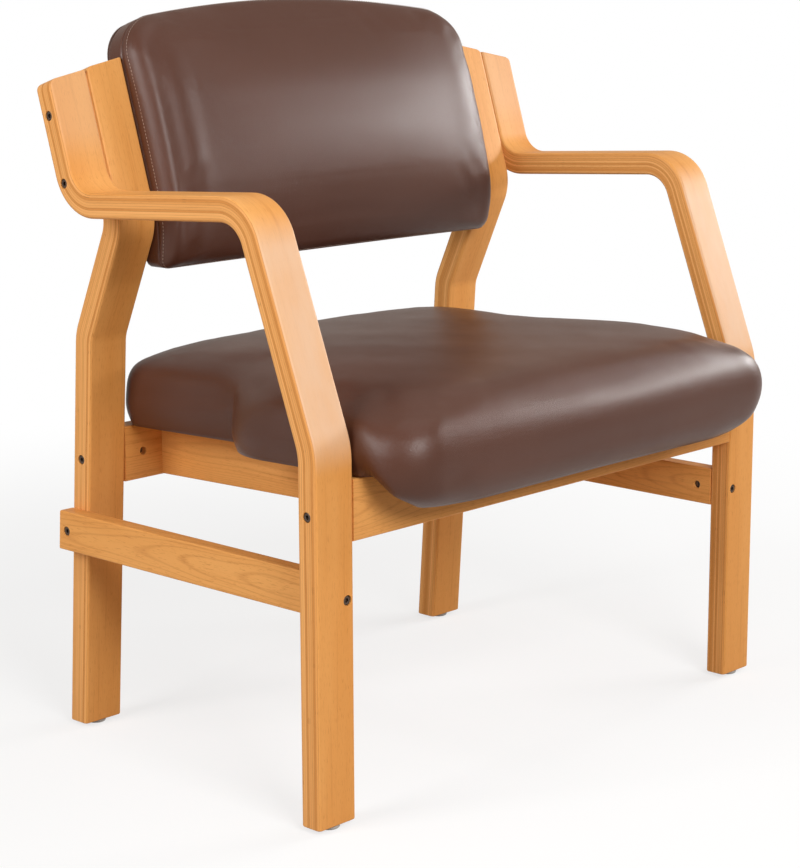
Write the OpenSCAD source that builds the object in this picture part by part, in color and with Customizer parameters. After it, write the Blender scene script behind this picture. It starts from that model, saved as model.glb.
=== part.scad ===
// Wide patient armchair: two bent laminated arm frames, two bent laminated back legs,
// a frame of rails, side stretchers, and padded seat and back covered in coated fabric.
// Heights are measured from the floor, depths from the front face of the front legs.

/* [Overall] */
// Width over the outer faces of the two arm frames
overall_w = 800; // [640:5:900]
// Sideways width of every laminated strip
strip_w = 56; // [44:1:64]
// Rounding along the strips' long edges
strip_edge_r = 4; // [1:0.5:7]
// Radius inside the tight bends of the strips
bend_r = 34; // [24:1:44]
// Slope of the strips' upper ends, falling outwards, in degrees
top_slope_a = 11; // [0:1:18]
// Rounding of the outer corner at the upper ends
top_corner_r = 12; // [4:1:18]

/* [Arm frames] */
// Thickness of the arm frame's strip
arm_t = 28; // [22:1:34]
// Height of the knee, where the front leg starts to lean back
knee_h = 420; // [400:5:450]
// Radius inside the knee bend
knee_r = 60; // [40:5:90]
// Lean of the stretch above the knee, in degrees
slant_a = 20.6; // [14:0.2:26]
// Height of the armrest's top at its front corner
arm_h = 680; // [640:5:720]
// Rise of the armrest towards the front, in degrees
arm_rise_a = 3.1; // [0:0.1:5]
// Depth at which the armrest turns up into the back
arm_reach = 380.5; // [350:0.5:420]
// Recline of the back, in degrees
recline_a = 17; // [12:0.5:22]
// Height of the arm frames' upper ends
arm_top_h = 801; // [770:1:840]

/* [Back legs] */
// Thickness of the back leg's strip
leg_t = 30; // [24:1:36]
// Depth of the leg's front face at the lower bend
leg_reach = 429.5; // [410:0.5:460]
// Height of the lower bend
hip_h = 485; // [460:5:510]
// Rake of the lower stretch, in degrees
rake_a = 3.9; // [0:0.1:7]
// Forward lean of the middle stretch, in degrees
lean_a = 24; // [18:0.5:30]
// Height of the back legs' upper ends
leg_top_h = 813; // [790:1:850]

/* [Rails and stretchers] */
// Height of every seat rail's section
rail_h = 68; // [50:1:80]
// Thickness of every seat rail
rail_t = 25; // [18:1:26]
// Height of the front rail's top
rail_top_h = 384; // [370:1:400]
// Fall of the seat towards the back, in degrees
seat_tilt_a = 1.5; // [0:0.1:3]
// Distance of the side rails' outer faces from the back legs
side_rail_inset = 58; // [40:1:90]
// Rounding along the rails' and stretchers' edges
rail_edge_r = 2; // [0.5:0.5:4]
// Height of the side stretchers' section
stretcher_h = 48; // [36:1:60]
// Thickness of the side stretchers
stretcher_t = 21; // [16:1:26]
// Height of the side stretchers' middle
stretcher_mid_h = 253.5; // [180:0.5:280]
// How far the stretcher stops short of the back leg's rear face
stretcher_setback = 2; // [0:0.5:6]

/* [Seat] */
// Thickness of the plywood seat board
seat_board_t = 12; // [9:1:18]
// Height of the padding's front edge over the board's underside
seat_edge_h = 65; // [50:1:80]
// How much higher the padding's rear edge stands
seat_rear_lift = 10; // [0:1:20]
// Rise of the crown over the padding's edge
seat_crown = 29; // [15:1:45]
// How far the front roll stands out in front of the legs
seat_overhang = 79; // [60:1:95]
// How far the front edge bows out at its middle
seat_bow = 4; // [0:0.5:10]
// How far the front roll hangs below the board
seat_roll = 37; // [20:1:48]
// How far the seat's rear edge stands behind the lower bend of the back legs
seat_rear = 25.5; // [10:0.5:40]
// Rounding of the rear corners, seen from above
seat_rear_r = 27; // [20:1:50]
// Rounding of the front corners, seen from above
seat_front_r = 60; // [35:1:70]
// Depth at which the seat starts to widen, in front of the back legs
shoulder_rear = 236; // [220:1:280]
// Depth at which the seat has its full width
shoulder_front = 142; // [120:1:180]

/* [Back] */
// Height of the back cushion's lower edge
back_low_h = 569; // [555:1:600]
// Length of the back cushion along its side
back_len = 312; // [280:1:340]
// Thickness of the back's plywood shell
back_board_t = 18; // [16:1:22]
// Thickness of the panel that closes the back
back_panel_t = 4; // [3:0.5:6]
// Radius of the shell's bend above the lower edge
back_bend_r = 150; // [120:5:200]
// Rounding of the cushion's upper corners
back_top_r = 50; // [40:1:70]
// Rounding of the cushion's lower corners
back_low_r = 26; // [16:1:36]
// Rise of the upper edge at the middle
back_arch = 15; // [0:1:25]
// Reach of the padding's face in front of the shell's middle, at the top
back_top_pad = 42; // [34:1:50]
// Reach of the padding's face at the small of the back
back_mid_pad = 51; // [42:1:60]
// Reach of the padding's face at the lower edge
back_low_pad = 30; // [28:1:34]
// Depth of the hollow across the back
back_hollow = 16; // [0:1:18]
// Rise of the crown over the padding's face
back_crown = 14; // [4:1:22]

/* [Covers] */
// Thickness of the coated fabric
cover_t = 1.2; // [0.8:0.1:2]
// Width of the hem that is folded under a board
hem_w = 24; // [16:1:32]

/* [Bolts and dowels] */
// Diameter of the bolts' shanks
bolt_d = 6; // [5:0.5:8]
// Diameter of the bolts' heads
bolt_head_d = 11; // [9:0.5:12]
// Height of the bolts' heads
bolt_head_h = 5; // [3:0.5:6]
// Depth of the heads below the wood
bolt_sunk = 0.8; // [0:0.1:2]
// Size of the hexagon socket, across its corners
bolt_socket_d = 5.2; // [3:0.1:6]
// Height of the upper bolt through arm frame, leg and back
back_bolt_upper_h = 750; // [735:1:765]
// Height of the lower bolt through arm frame, leg and back
back_bolt_lower_h = 675; // [672:1:690]
// Diameter of the barrel nuts
nut_d = 10; // [8:0.5:12]
// Length of the barrel nuts
nut_l = 14; // [10:0.5:18]
// Distance of a barrel nut from the end of its rail
nut_inset = 28; // [20:1:40]
// Diameter of the threaded inserts
insert_d = 10; // [8:0.5:11]
// Length of the threaded inserts
insert_l = 15; // [10:1:20]
// Diameter of the wooden dowels
dowel_d = 8; // [6:0.5:10]
// Length of the wooden dowels
dowel_l = 36; // [24:1:44]
// Spacing of the two dowels in a joint
dowel_pitch = 42; // [36:1:50]

/* [Seat screws] */
// Diameter of the seat screws' shanks
screw_d = 5; // [4:0.5:6]
// Length of the seat screws under their heads
screw_l = 30; // [24:1:32]
// Diameter of the seat screws' heads
screw_head_d = 9.5; // [8:0.5:11]
// Height of the seat screws' heads
screw_head_h = 3; // [2:0.5:4]
// Depth of the front screws
screw_front = 90; // [60:5:140]
// Distance of the rear screws in front of the rear rail
screw_rear = 59.5; // [40:0.5:120]

/* [Feet] */
// Height of the glides under the legs
glide_h = 5; // [3:0.5:8]
// Diameter of the glides
glide_d = 24; // [16:1:26]
// Diameter of the glides' nails
nail_d = 3; // [2:0.5:4]
// Length of the glides' nails in the wood
nail_l = 18; // [10:1:24]

/* [Hidden] */
$fn = 48;

// Clearances and overruns
hole_gap = 0.3;
dowel_gap = 0.1;
thread_gap = 0.1;
soft_gap = 0.5;
seat_gap = 0.3;
floor_step = 0.1;
overrun = 2;
// Every bend is turned a little too far, then cut where the next stretch starts
spare_turn = 5;

// Colours of the finishes
beech = [0.86, 0.60, 0.34];
plywood = [0.80, 0.62, 0.42];
vinyl = [0.33, 0.23, 0.20];
foam = [0.93, 0.88, 0.70];
bronze = [0.20, 0.15, 0.12];
steel = [0.62, 0.63, 0.64];
glide_grey = [0.72, 0.71, 0.70];

// Stretches meet exactly at a bend only if the sine and cosine of its angle are true when they are
// written with few decimals, so each turn is nudged by a small part of a degree to one that is
sine_step_share = 1e-6;
nudge_steps = 1000;
strip_nudge_a = 0.004;
sheet_nudge_a = 0.05;
function few(x) = round(x / sine_step_share) * sine_step_share;
function untrue(a) = abs(pow(few(cos(a)), 2) + pow(few(sin(a)), 2) - 1);
function true_turn(a, most) = let (
    turns = [for (i = [-nudge_steps:nudge_steps]) a + most * i / nudge_steps],
    misses = [for (t = turns) untrue(t)]) turns[search(min(misses), misses)[0]];

// Planes across the chair
half_w = overall_w / 2;
arm_in = half_w - strip_w;
leg_in = arm_in - strip_w;
side_rail_out = leg_in - side_rail_inset;

// Corners of the arm frame's front and top face
arm_corner_y = (arm_h - knee_h) * tan(slant_a);
arm_turn_a = 90 + arm_rise_a - slant_a;
back_turn_a = 90 + arm_rise_a - recline_a;
back_corner_h = arm_h - (arm_reach - arm_corner_y) * tan(arm_rise_a);
knee_len = (arm_t + knee_r) * tan(slant_a / 2);
front_len = (arm_t + bend_r) * tan(arm_turn_a / 2);
rear_len = bend_r * tan(back_turn_a / 2);

// Corners of the back leg's front face
function recline_y(h) = arm_reach + (h - back_corner_h) * tan(recline_a);
function rake_y(h) = leg_reach + (hip_h - h) * tan(rake_a);
bend_h = (leg_reach - arm_reach + hip_h * tan(lean_a) + back_corner_h * tan(recline_a))
         / (tan(lean_a) + tan(recline_a));
hip_turn_a = lean_a - rake_a;
leg_turn_a = lean_a + recline_a;
hip_len = bend_r * tan(hip_turn_a / 2);
bend_len = (leg_t + bend_r) * tan(leg_turn_a / 2);
foot_y = rake_y(glide_h);
foot_rear_y = foot_y + leg_t / cos(rake_a);

// Rails
rail_mid_h = rail_top_h - rail_h / 2;
function rail_plane_h(y) = rail_top_h - (y - rail_t) * tan(seat_tilt_a);
rear_rail_y = rake_y(rail_plane_h(leg_reach) - rail_h / 2);
rear_rail_top_h = rail_plane_h(rear_rail_y + rail_t);
rear_rail_mid_h = rear_rail_top_h - rail_h / 2;
rear_bolt_y = rake_y(rear_rail_mid_h) + leg_t / 2 / cos(rake_a);

// The seat's rear edge and rear screws follow the back legs and the rail between them
seat_rear_y = leg_reach + seat_rear;
screw_rear_y = rear_rail_y - screw_rear;

// Stretchers
stretcher_low_h = stretcher_mid_h - stretcher_h / 2;
stretcher_rear_y = rake_y(stretcher_mid_h) + leg_t / cos(rake_a) - stretcher_setback;
stretcher_bolt_y = rake_y(stretcher_mid_h) + leg_t / 2 / cos(rake_a);
stretcher_bolt_x = arm_in + stretcher_t / 2;
stretcher_nut_y = arm_t + stretcher_t;

// The model stands on the middle of its own floor rectangle
middle_y = (foot_rear_y - seat_overhang - seat_bow) / 2;

// Hole places through the upper frame, in depth and height
function back_bolt_y(h) = recline_y(h) + leg_t / 2 / cos(recline_a);
back_bolt_hs = [back_bolt_upper_h, back_bolt_lower_h];

// Bolt lengths under the head
head_hole_d = bolt_head_d + 2 * hole_gap;
bolt_hole_d = bolt_d + 2 * hole_gap;
head_hole_l = bolt_head_h + bolt_sunk;
bolt_tip = bolt_d;
back_bolt_l = 2 * strip_w - head_hole_l + insert_l;
rail_bolt_l = strip_w - head_hole_l + nut_inset + bolt_tip;
stretcher_front_bolt_l = stretcher_nut_y - head_hole_l + bolt_tip;
stretcher_rear_bolt_l = stretcher_t - head_hole_l + insert_l;
rail_hole_l = nut_inset + 2 * bolt_tip;

// Barrel nuts, and the side rails' dowels, which go less deep than the cross rails are thick
nut_slot = 1.2;
nut_hole_d = nut_d + 2 * dowel_gap;
dowel_wall = 8;
side_dowel_l = 2 * rail_t - 2 * dowel_wall;

// The seat board lies on the cover's hem, and its screws stop inside it
seat_lift = cover_t + seat_gap;
board_skin = 1;
screw_grip = screw_l - seat_board_t + 2 * overrun;
board_lip = 5;
board_front = 12;

// Steps along a cushion's outline: straight stretches by their number, corners by their angles
long_steps = 3;
short_steps = 2;
bend_steps = 4;
shoulder_steps = 4;
rear_angles = [60, 30, 0];
front_angles = [-22.5, -45, -67.5, -90];
top_angles = [67.5, 45, 22.5, 0];
low_angles = [-30, -60, -90];

// Side of the padding as angles round its edge, and its crown as shares of the way out
edge_angles = [-75, -35, 0, 30, 60, 90];
round_angles = [22.5, 45, 67.5, 90];
crown_shares = [0.96, 0.88, 0.74, 0.56, 0.36, 0.17];

// Seat padding: how far its edge is drawn in at the sides and at the front roll
soft_half_front = arm_in - soft_gap;
soft_half_rear = leg_in - soft_gap;
seat_half_len = (seat_rear_y + seat_overhang) / 2;
seat_middle_share = 0.44;
seat_centre = [0, seat_middle_share * seat_rear_y];
shoulder_ease_share = 1.6;
side_draw = 13;
nose_draw = 32;
nose_start = 4;
nose_run = 38;
nose_under = 14;
low_draw_share = 0.82;
corner_draw_share = 0.9;
corner_from_share = 0.62;
edge_mid_share = 0.42;
nose_mid_share = 0.1;
dome_share = 5;
seat_crown_share = 3.35;
seat_crown_ease_share = 0.5;
rear_crown_share = 0.25;
hem_front = 8;
under_share = 0.4;
foam_skin = cover_t + seat_gap;
foam_floor = seat_board_t + seat_gap + floor_step;
low_slack = 2;

// Back shell: an upright stretch, a bend and a reclined stretch
back_low_run = 33;
bend_top_h = back_low_h + back_low_run + back_bend_r * sin(recline_a);
back_mid_y = recline_y(bend_top_h) + leg_t / 2 / cos(recline_a);
bend_arc = back_bend_r * recline_a * PI / 180;
bend_centre = [back_mid_y + back_bend_r * cos(recline_a), bend_top_h - back_bend_r * sin(recline_a)];
shell_side = 5;
shell_inset = 12;
board_top = back_len - back_arch - shell_inset;

// Back padding: fullest at the small of the back, hollow across, with a seam round its front
back_half_w = leg_in - soft_gap;
back_middle_share = 0.48;
back_centre = [0, back_middle_share * back_len];
low_share = 0.42;
high_share = 0.6;
low_hollow_share = 0.6;
crown_power_share = 3;
back_seam = 18;
seam_depth = 8;
back_round = 34;
rear_round = 2.5;

// Shapes shared by the pieces

module section(w, t, r) {
    translate([r, 0]) square([w - 2 * r, t]);
    translate([0, r]) square([w, t - 2 * r]);
    for (x = [r, w - r], y = [r, t - r]) translate([x, y]) circle(r);
}

module run(len, w, t, r) {
    linear_extrude(len) section(w, t, r);
    translate([0, 0, len]) children();
}

// Turns towards the rear face, so that the front face is outside the bend
module bend_back(angle, inner, w, t, r) {
    turn = true_turn(angle, strip_nudge_a);
    reach = t + inner;
    translate([0, reach, 0]) {
        difference() {
            rotate([90, 0, -90]) rotate_extrude(angle = turn + spare_turn)
                translate([inner, -w]) rotate(90) mirror([0, 1]) section(w, t, r);
            rotate([-turn, 0, 0]) translate([-overrun, -reach - overrun, 0])
                cube([w + 2 * overrun, t + 2 * overrun, reach]);
        }
        rotate([-turn, 0, 0]) translate([0, -reach, 0]) children();
    }
}

// Turns towards the front face, so that the front face is inside the bend
module bend_front(angle, inner, w, t, r) {
    turn = true_turn(angle, strip_nudge_a);
    translate([0, -inner, 0]) {
        difference() {
            rotate([90, 0, 90]) rotate_extrude(angle = turn + spare_turn)
                translate([inner, 0]) rotate(90) mirror([0, 1]) section(w, t, r);
            rotate([turn, 0, 0]) translate([-overrun, inner - overrun, 0])
                cube([w + 2 * overrun, t + 2 * overrun, inner + t]);
        }
        rotate([turn, 0, 0]) translate([0, inner, 0]) children();
    }
}

// Last run of a strip, with its sloping end and rounded outer corner
module end_run(len, t) {
    fall = strip_w * tan(top_slope_a);
    corner = top_corner_r / tan(45 + top_slope_a / 2);
    difference() {
        linear_extrude(len) section(strip_w, t, strip_edge_r);
        translate([0, t + overrun, 0]) rotate([90, 0, 0]) linear_extrude(t + 2 * overrun) {
            polygon([[-overrun, len + overrun * tan(top_slope_a)],
                     [strip_w + overrun, len - fall - overrun * tan(top_slope_a)],
                     [strip_w + overrun, len + overrun], [-overrun, len + overrun]]);
            difference() {
                translate([strip_w - top_corner_r, len - fall - corner])
                    square([top_corner_r + overrun, top_corner_r + fall]);
                translate([strip_w - top_corner_r, len - fall - corner]) circle(top_corner_r);
            }
        }
    }
}

module sided(side) { mirror([side < 0 ? 1 : 0, 0, 0]) children(); }

module placed() { translate([0, -middle_y, 0]) children(); }

// Axis along +X at a depth and a height
module along_x(x, y, h) { translate([x, y, h]) rotate([0, 90, 0]) children(); }

// Axis along +Y at a place across the chair and a height
module along_y(x, y, h) { translate([x, y, h]) rotate([-90, 0, 0]) children(); }

// Hole for a bolt that enters along +Z at the origin
module bolt_hole(len) {
    translate([0, 0, -overrun]) cylinder(d = head_hole_d, h = head_hole_l + overrun);
    cylinder(d = bolt_hole_d, h = len);
}

module bolt(len) {
    translate([0, 0, bolt_sunk]) difference() {
        union() {
            cylinder(d = bolt_head_d, h = bolt_head_h);
            cylinder(d = bolt_d, h = bolt_head_h + len);
        }
        translate([0, 0, -overrun])
            cylinder(d = bolt_socket_d, h = bolt_head_h / 2 + overrun, $fn = 6);
    }
}

module dowel_hole() {
    translate([0, 0, -dowel_l / 2 - hole_gap])
        cylinder(d = dowel_d + 2 * dowel_gap, h = dowel_l + 2 * hole_gap);
}

module dowel() { translate([0, 0, -dowel_l / 2]) cylinder(d = dowel_d, h = dowel_l); }

module insert() {
    difference() {
        cylinder(d = insert_d, h = insert_l);
        translate([0, 0, -overrun]) cylinder(d = bolt_d + 2 * thread_gap, h = insert_l + 2 * overrun);
    }
}

// Barrel nut with its axis along +Z, its slotted end at the origin and its thread across
module barrel_nut(turn) {
    difference() {
        cylinder(d = nut_d, h = nut_l);
        translate([0, 0, nut_l / 2]) rotate([0, 90, turn])
            cylinder(d = bolt_d + 2 * thread_gap, h = nut_d + 2 * overrun, center = true);
        translate([-nut_d, -nut_slot / 2, -overrun]) cube([2 * nut_d, nut_slot, nut_slot + overrun]);
    }
}

// Laminated frames

module arm_strip() {
    knee_to_arm = (arm_h - knee_h) / cos(slant_a);
    arm_len = (arm_reach - arm_corner_y) / cos(arm_rise_a);
    top_len = (arm_top_h - back_corner_h) / cos(recline_a) - rear_len;
    translate([arm_in, 0, glide_h])
        run(knee_h - glide_h - knee_len, strip_w, arm_t, strip_edge_r)
        bend_back(slant_a, knee_r, strip_w, arm_t, strip_edge_r)
        run(knee_to_arm - knee_len - front_len, strip_w, arm_t, strip_edge_r)
        bend_back(arm_turn_a, bend_r, strip_w, arm_t, strip_edge_r)
        run(arm_len - front_len - rear_len, strip_w, arm_t, strip_edge_r)
        bend_front(back_turn_a, bend_r, strip_w, arm_t, strip_edge_r)
        end_run(top_len, arm_t);
}

module arm_frame(side) {
    color(beech) placed() sided(side) difference() {
        arm_strip();
        for (h = back_bolt_hs) along_x(half_w, back_bolt_y(h), h) mirror([0, 0, 1])
            bolt_hole(strip_w + overrun);
        along_x(half_w, arm_t / 2, rail_mid_h) mirror([0, 0, 1]) bolt_hole(strip_w + overrun);
        for (k = [-1, 1]) along_x(arm_in, arm_t / 2, rail_mid_h + k * dowel_pitch / 2) dowel_hole();
        along_y(stretcher_bolt_x, 0, stretcher_mid_h) bolt_hole(arm_t + overrun);
        translate([arm_in + strip_w / 2, arm_t / 2, glide_h]) nail_hole();
    }
}

module leg_strip() {
    hip_to_bend = (bend_h - hip_h) / cos(lean_a);
    spare = leg_t;
    translate([leg_in, foot_y, glide_h]) rotate([rake_a, 0, 0]) translate([0, 0, -spare])
        run(spare + (hip_h - glide_h) / cos(rake_a) - hip_len, strip_w, leg_t, strip_edge_r)
        bend_front(hip_turn_a, bend_r, strip_w, leg_t, strip_edge_r)
        run(hip_to_bend - hip_len - bend_len, strip_w, leg_t, strip_edge_r)
        bend_back(leg_turn_a, bend_r, strip_w, leg_t, strip_edge_r)
        end_run((leg_top_h - bend_h) / cos(recline_a) - bend_len, leg_t);
}

module rear_leg(side) {
    color(beech) placed() sided(side) difference() {
        leg_strip();
        translate([leg_in - overrun, foot_y - leg_t, glide_h - 2 * leg_t])
            cube([strip_w + 2 * overrun, 3 * leg_t, 2 * leg_t]);
        for (h = back_bolt_hs) along_x(leg_in - overrun, back_bolt_y(h), h)
            cylinder(d = bolt_hole_d, h = strip_w + 2 * overrun);
        along_x(arm_in, rear_bolt_y, rear_rail_mid_h) mirror([0, 0, 1]) bolt_hole(strip_w + overrun);
        for (k = [-1, 1]) along_x(leg_in, rear_bolt_y, rear_rail_mid_h + k * dowel_pitch / 2)
            dowel_hole();
        along_x(arm_in + overrun, stretcher_bolt_y, stretcher_mid_h) mirror([0, 0, 1])
            cylinder(d = insert_d + 2 * dowel_gap, h = insert_l + bolt_tip + overrun);
        translate([leg_in + strip_w / 2, foot_y + leg_t / 2, glide_h]) nail_hole();
    }
}

module nail_hole() {
    translate([0, 0, -overrun]) cylinder(d = nail_d + 2 * dowel_gap, h = nail_l + hole_gap + overrun);
}

// Rails, drawn as bars along +X with their front and top faces at the origin

module cross_rail(half_len, y, top_h, nut_side, bolt_y) {
    color(beech) placed() difference() {
        translate([-half_len, y, top_h - rail_h]) rotate([90, 0, 90])
            linear_extrude(2 * half_len) section(rail_t, rail_h, rail_edge_r);
        for (side = [-1, 1]) sided(side) {
            along_x(half_len + overrun, bolt_y, top_h - rail_h / 2) mirror([0, 0, 1])
                cylinder(d = bolt_hole_d, h = rail_hole_l + overrun);
            for (k = [-1, 1])
                along_x(half_len, bolt_y, top_h - rail_h / 2 + k * dowel_pitch / 2) dowel_hole();
            along_y(half_len - nut_inset, nut_side < 0 ? y - overrun : bolt_y - nut_l / 2,
                    top_h - rail_h / 2)
                cylinder(d = nut_hole_d, h = nut_side < 0
                         ? bolt_y + nut_l / 2 - y + overrun : rail_t + overrun - bolt_y + nut_l / 2 + y);
            along_y(side_rail_out - rail_t / 2, nut_side < 0 ? y : y + rail_t, 0)
                for (k = [-1, 1]) translate([0, -side_dowel_h(nut_side < 0 ? y : rail_t, k), 0])
                    side_dowel_hole();
        }
    }
}

function side_dowel_h(y, k) = rail_plane_h(y) - rail_h / 2 + k * dowel_pitch / 2;
module side_dowel_hole() {
    translate([0, 0, -side_dowel_l / 2 - hole_gap])
        cylinder(d = dowel_d + 2 * dowel_gap, h = side_dowel_l + 2 * hole_gap);
}

module front_rail() { cross_rail(arm_in, 0, rail_top_h, 1, arm_t / 2); }

module rear_rail() { cross_rail(leg_in, rear_rail_y, rear_rail_top_h, -1, rear_bolt_y); }

// Plane that falls towards the back: the rails' tops lie in it, and the seat board over the hem
module tilted(h) {
    translate([0, rail_t, h]) rotate([-seat_tilt_a, 0, 0]) translate([0, -rail_t, 0]) children();
}

module seat_frame() { tilted(rail_top_h + seat_lift) children(); }

module side_rail(side) {
    len = rear_rail_y - rail_t;
    color(beech) placed() sided(side) difference() {
        intersection() {
            tilted(rail_top_h) translate([side_rail_out - rail_t, 0, -rail_h]) rotate([90, 0, 0])
                mirror([0, 0, 1]) linear_extrude(2 * len) section(rail_t, rail_h, rail_edge_r);
            translate([0, rail_t, 0]) cube([half_w, len, rail_top_h + rail_h]);
        }
        for (y = [rail_t, rear_rail_y], k = [-1, 1])
            along_y(side_rail_out - rail_t / 2, y, side_dowel_h(y, k)) side_dowel_hole();
        seat_frame() for (y = [screw_front, screw_rear_y])
            translate([side_rail_out - rail_t / 2, y, -rail_h - seat_lift - overrun]) {
                cylinder(d = screw_head_d + 4 * hole_gap, h = rail_h + seat_lift + overrun - screw_grip);
                cylinder(d = screw_d + 2 * hole_gap, h = rail_h + seat_lift + overrun);
            }
    }
}

module side_stretcher(side) {
    len = stretcher_rear_y - arm_t;
    color(beech) placed() sided(side) difference() {
        translate([arm_in, arm_t, stretcher_low_h]) rotate([90, 0, 0]) mirror([0, 0, 1])
            linear_extrude(len + stretcher_h) section(stretcher_t, stretcher_h, rail_edge_r);
        translate([arm_in - overrun, stretcher_rear_y, stretcher_mid_h]) rotate([rake_a, 0, 0])
            translate([0, 0, -stretcher_h]) cube([strip_w, 2 * stretcher_h, 2 * stretcher_h]);
        along_y(stretcher_bolt_x, arm_t - overrun, stretcher_mid_h)
            cylinder(d = bolt_hole_d, h = stretcher_t + 2 * bolt_tip + overrun);
        along_x(arm_in - overrun, stretcher_nut_y, stretcher_mid_h)
            cylinder(d = nut_hole_d, h = stretcher_t / 2 + nut_l / 2 + overrun);
        along_x(arm_in + stretcher_t, stretcher_bolt_y, stretcher_mid_h) mirror([0, 0, 1])
            bolt_hole(stretcher_t + overrun);
    }
}

// Padded forms, drawn as rings of points from the hem up to the middle of the crown

function smooth(a, b, x) = let (t = max(0, min(1, (x - a) / (b - a)))) t * t * (3 - 2 * t);
function arc(x, y, r, angles) = [for (a = angles) [x + r * cos(a), y + r * sin(a)]];
function line(p, q, n) = [for (i = [1:n]) p + (q - p) * i / n];
function both(half) = concat(half, [for (i = [len(half) - 2:-1:1]) [-half[i][0], half[i][1]]]);
function towards(p, c, d) = p + (c - p) * d / norm(c - p);

// Faces of a closed skin over rings: a fan, the bands, and a fan
function band(n, k, i) = let (a = k * n + i, b = k * n + (i + 1) % n) [[a, b, b + n], [a, b + n, a + n]];
function skin_faces(n, rings, first, last) = concat(
    [for (i = [0:n - 1]) [first, (i + 1) % n, i]],
    [for (k = [0:rings - 2], i = [0:n - 1]) each band(n, k, i)],
    [for (i = [0:n - 1]) [last, (rings - 1) * n + i, (rings - 1) * n + (i + 1) % n]]);

module skin(rings, first, last) {
    n = len(rings[0]);
    pts = [for (r = rings) each r];
    faces = skin_faces(n, len(rings), len(pts), len(pts) + 1);
    polyhedron(concat(pts, [first, last]), [for (f = faces) [f[0], f[2], f[1]]], convexity = 6);
}

// Outline of the seat from above
function shoulder_point(t) = [
    soft_half_rear + (soft_half_front - soft_half_rear) * sin(90 * t),
    shoulder_rear - (shoulder_rear - shoulder_front) * pow(t, shoulder_ease_share)];
function seat_half() = let (
    xr = soft_half_rear - seat_rear_r, xf = soft_half_front - seat_front_r,
    yr = seat_rear_y - seat_rear_r, yf = -seat_overhang + seat_front_r) concat(
    [[0, seat_rear_y]], line([0, seat_rear_y], [xr, seat_rear_y], long_steps),
    arc(xr, yr, seat_rear_r, rear_angles),
    line([soft_half_rear, yr], [soft_half_rear, shoulder_rear], short_steps),
    [for (i = [1:shoulder_steps]) shoulder_point(i / shoulder_steps)],
    line([soft_half_front, shoulder_front], [soft_half_front, yf], short_steps),
    arc(xf, yf, seat_front_r, front_angles),
    [for (i = [1:long_steps]) let (x = xf * (1 - i / long_steps))
        [x, -seat_overhang - seat_bow * (1 - pow(x / xf, 2))]]);
seat_outline = both(seat_half());

function nose(y) = smooth(0, -nose_run, y);
function seat_edge(y) = seat_edge_h + seat_rear_lift * smooth(0, seat_rear_y, y);
function seat_low(y) = -cover_t - seat_roll * smooth(-nose_start, -nose_start - nose_run, y);
function edge_draw(p) = side_draw + (nose_draw - side_draw) * nose(p[1]);
function low_edge_draw(p) = let (f = nose(p[1]),
    g = f * smooth(corner_from_share * soft_half_front, soft_half_front, abs(p[0])))
    edge_draw(p) * (low_draw_share + (1 - low_draw_share) * f) * (1 + corner_draw_share * g);
function low_inset(p) = low_edge_draw(p) * (1 - cos(edge_angles[0]));
function seat_edge_point(p, a, e) = let (
    f = nose(p[1]),
    q = towards(p, seat_centre, (a < 0 ? low_edge_draw(p) : edge_draw(p)) * (1 - cos(a)) + e * cos(a)),
    low = seat_low(q[1]),
    mid = low + (seat_edge(q[1]) - low) * (edge_mid_share + nose_mid_share * f),
    h = a < 0 ? mid + (mid - low) * sin(a) / sin(-edge_angles[0]) : mid + (seat_edge(q[1]) - mid) * sin(a))
    [q[0], q[1], h - e * sin(a)];
// Height share of a crown over a place, given as shares of the way out to the sides and ends
function dome(u, v, k) = let (s = pow(pow(abs(u), dome_share) + pow(abs(v), dome_share), 1 / dome_share))
    1 - pow(min(1, s), k);
function seat_crown_h(y, u, v) = seat_edge(y)
    + seat_crown * (1 - rear_crown_share * smooth(shoulder_front, seat_rear_y, y))
    * pow(dome(u, v, seat_crown_share), seat_crown_ease_share);
function seat_half_at(y) = soft_half_front - (soft_half_front - soft_half_rear)
    * smooth(shoulder_front - seat_front_r, shoulder_rear + seat_front_r, y);
function seat_crown_point(p, s, e) = let (q = seat_edge_point(p, 90, e),
    x = seat_centre[0] + (q[0] - seat_centre[0]) * s, y = seat_centre[1] + (q[1] - seat_centre[1]) * s,
    u = x / (seat_half_at(y) - side_draw),
    v = (y - seat_rear_y + seat_half_len) / (seat_half_len - side_draw))
    [x, y, seat_crown_h(y, u, v) - e];
// Underside point: drawn in from the lower edge, and kept just in front of the front rail
function under_place(p, inset, front) = let (q = towards(p, seat_centre, low_inset(p) + inset))
    [q[0], max(q[1], -front)];
function seat_under_point(p, inset, front, e) = let (q = under_place(p, inset, front))
    [q[0], q[1], seat_low(q[1]) + e];

function seat_top_rings(e, slack = 0) = concat(
    [for (a = edge_angles) [for (p = seat_outline) seat_edge_point(p, a, a < 0 ? e + slack : e)]],
    [for (s = crown_shares) [for (p = seat_outline) seat_crown_point(p, s, e)]]);
seat_top_h = seat_crown_h(seat_centre[1], 0, 0);

// A cover is one skin: in along its outer face, over the hem's edge and back inside
module cover_skin(outer, inner, outer_top, inner_top) {
    rings = concat([for (k = [len(inner) - 1:-1:0]) inner[k]], outer);
    skin(rings, inner_top, outer_top);
}

function seat_cover_rings(e) = concat(
    [[for (p = seat_outline) seat_under_point(p, hem_w, hem_front, e)]],
    [[for (p = seat_outline) seat_under_point(p, hem_w * under_share, nose_under, e)]],
    seat_top_rings(e));

module seat_cover() {
    color(vinyl) placed() seat_frame()
        cover_skin(seat_cover_rings(0), seat_cover_rings(cover_t),
                   concat(seat_centre, seat_top_h), concat(seat_centre, seat_top_h - cover_t));
}

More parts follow.
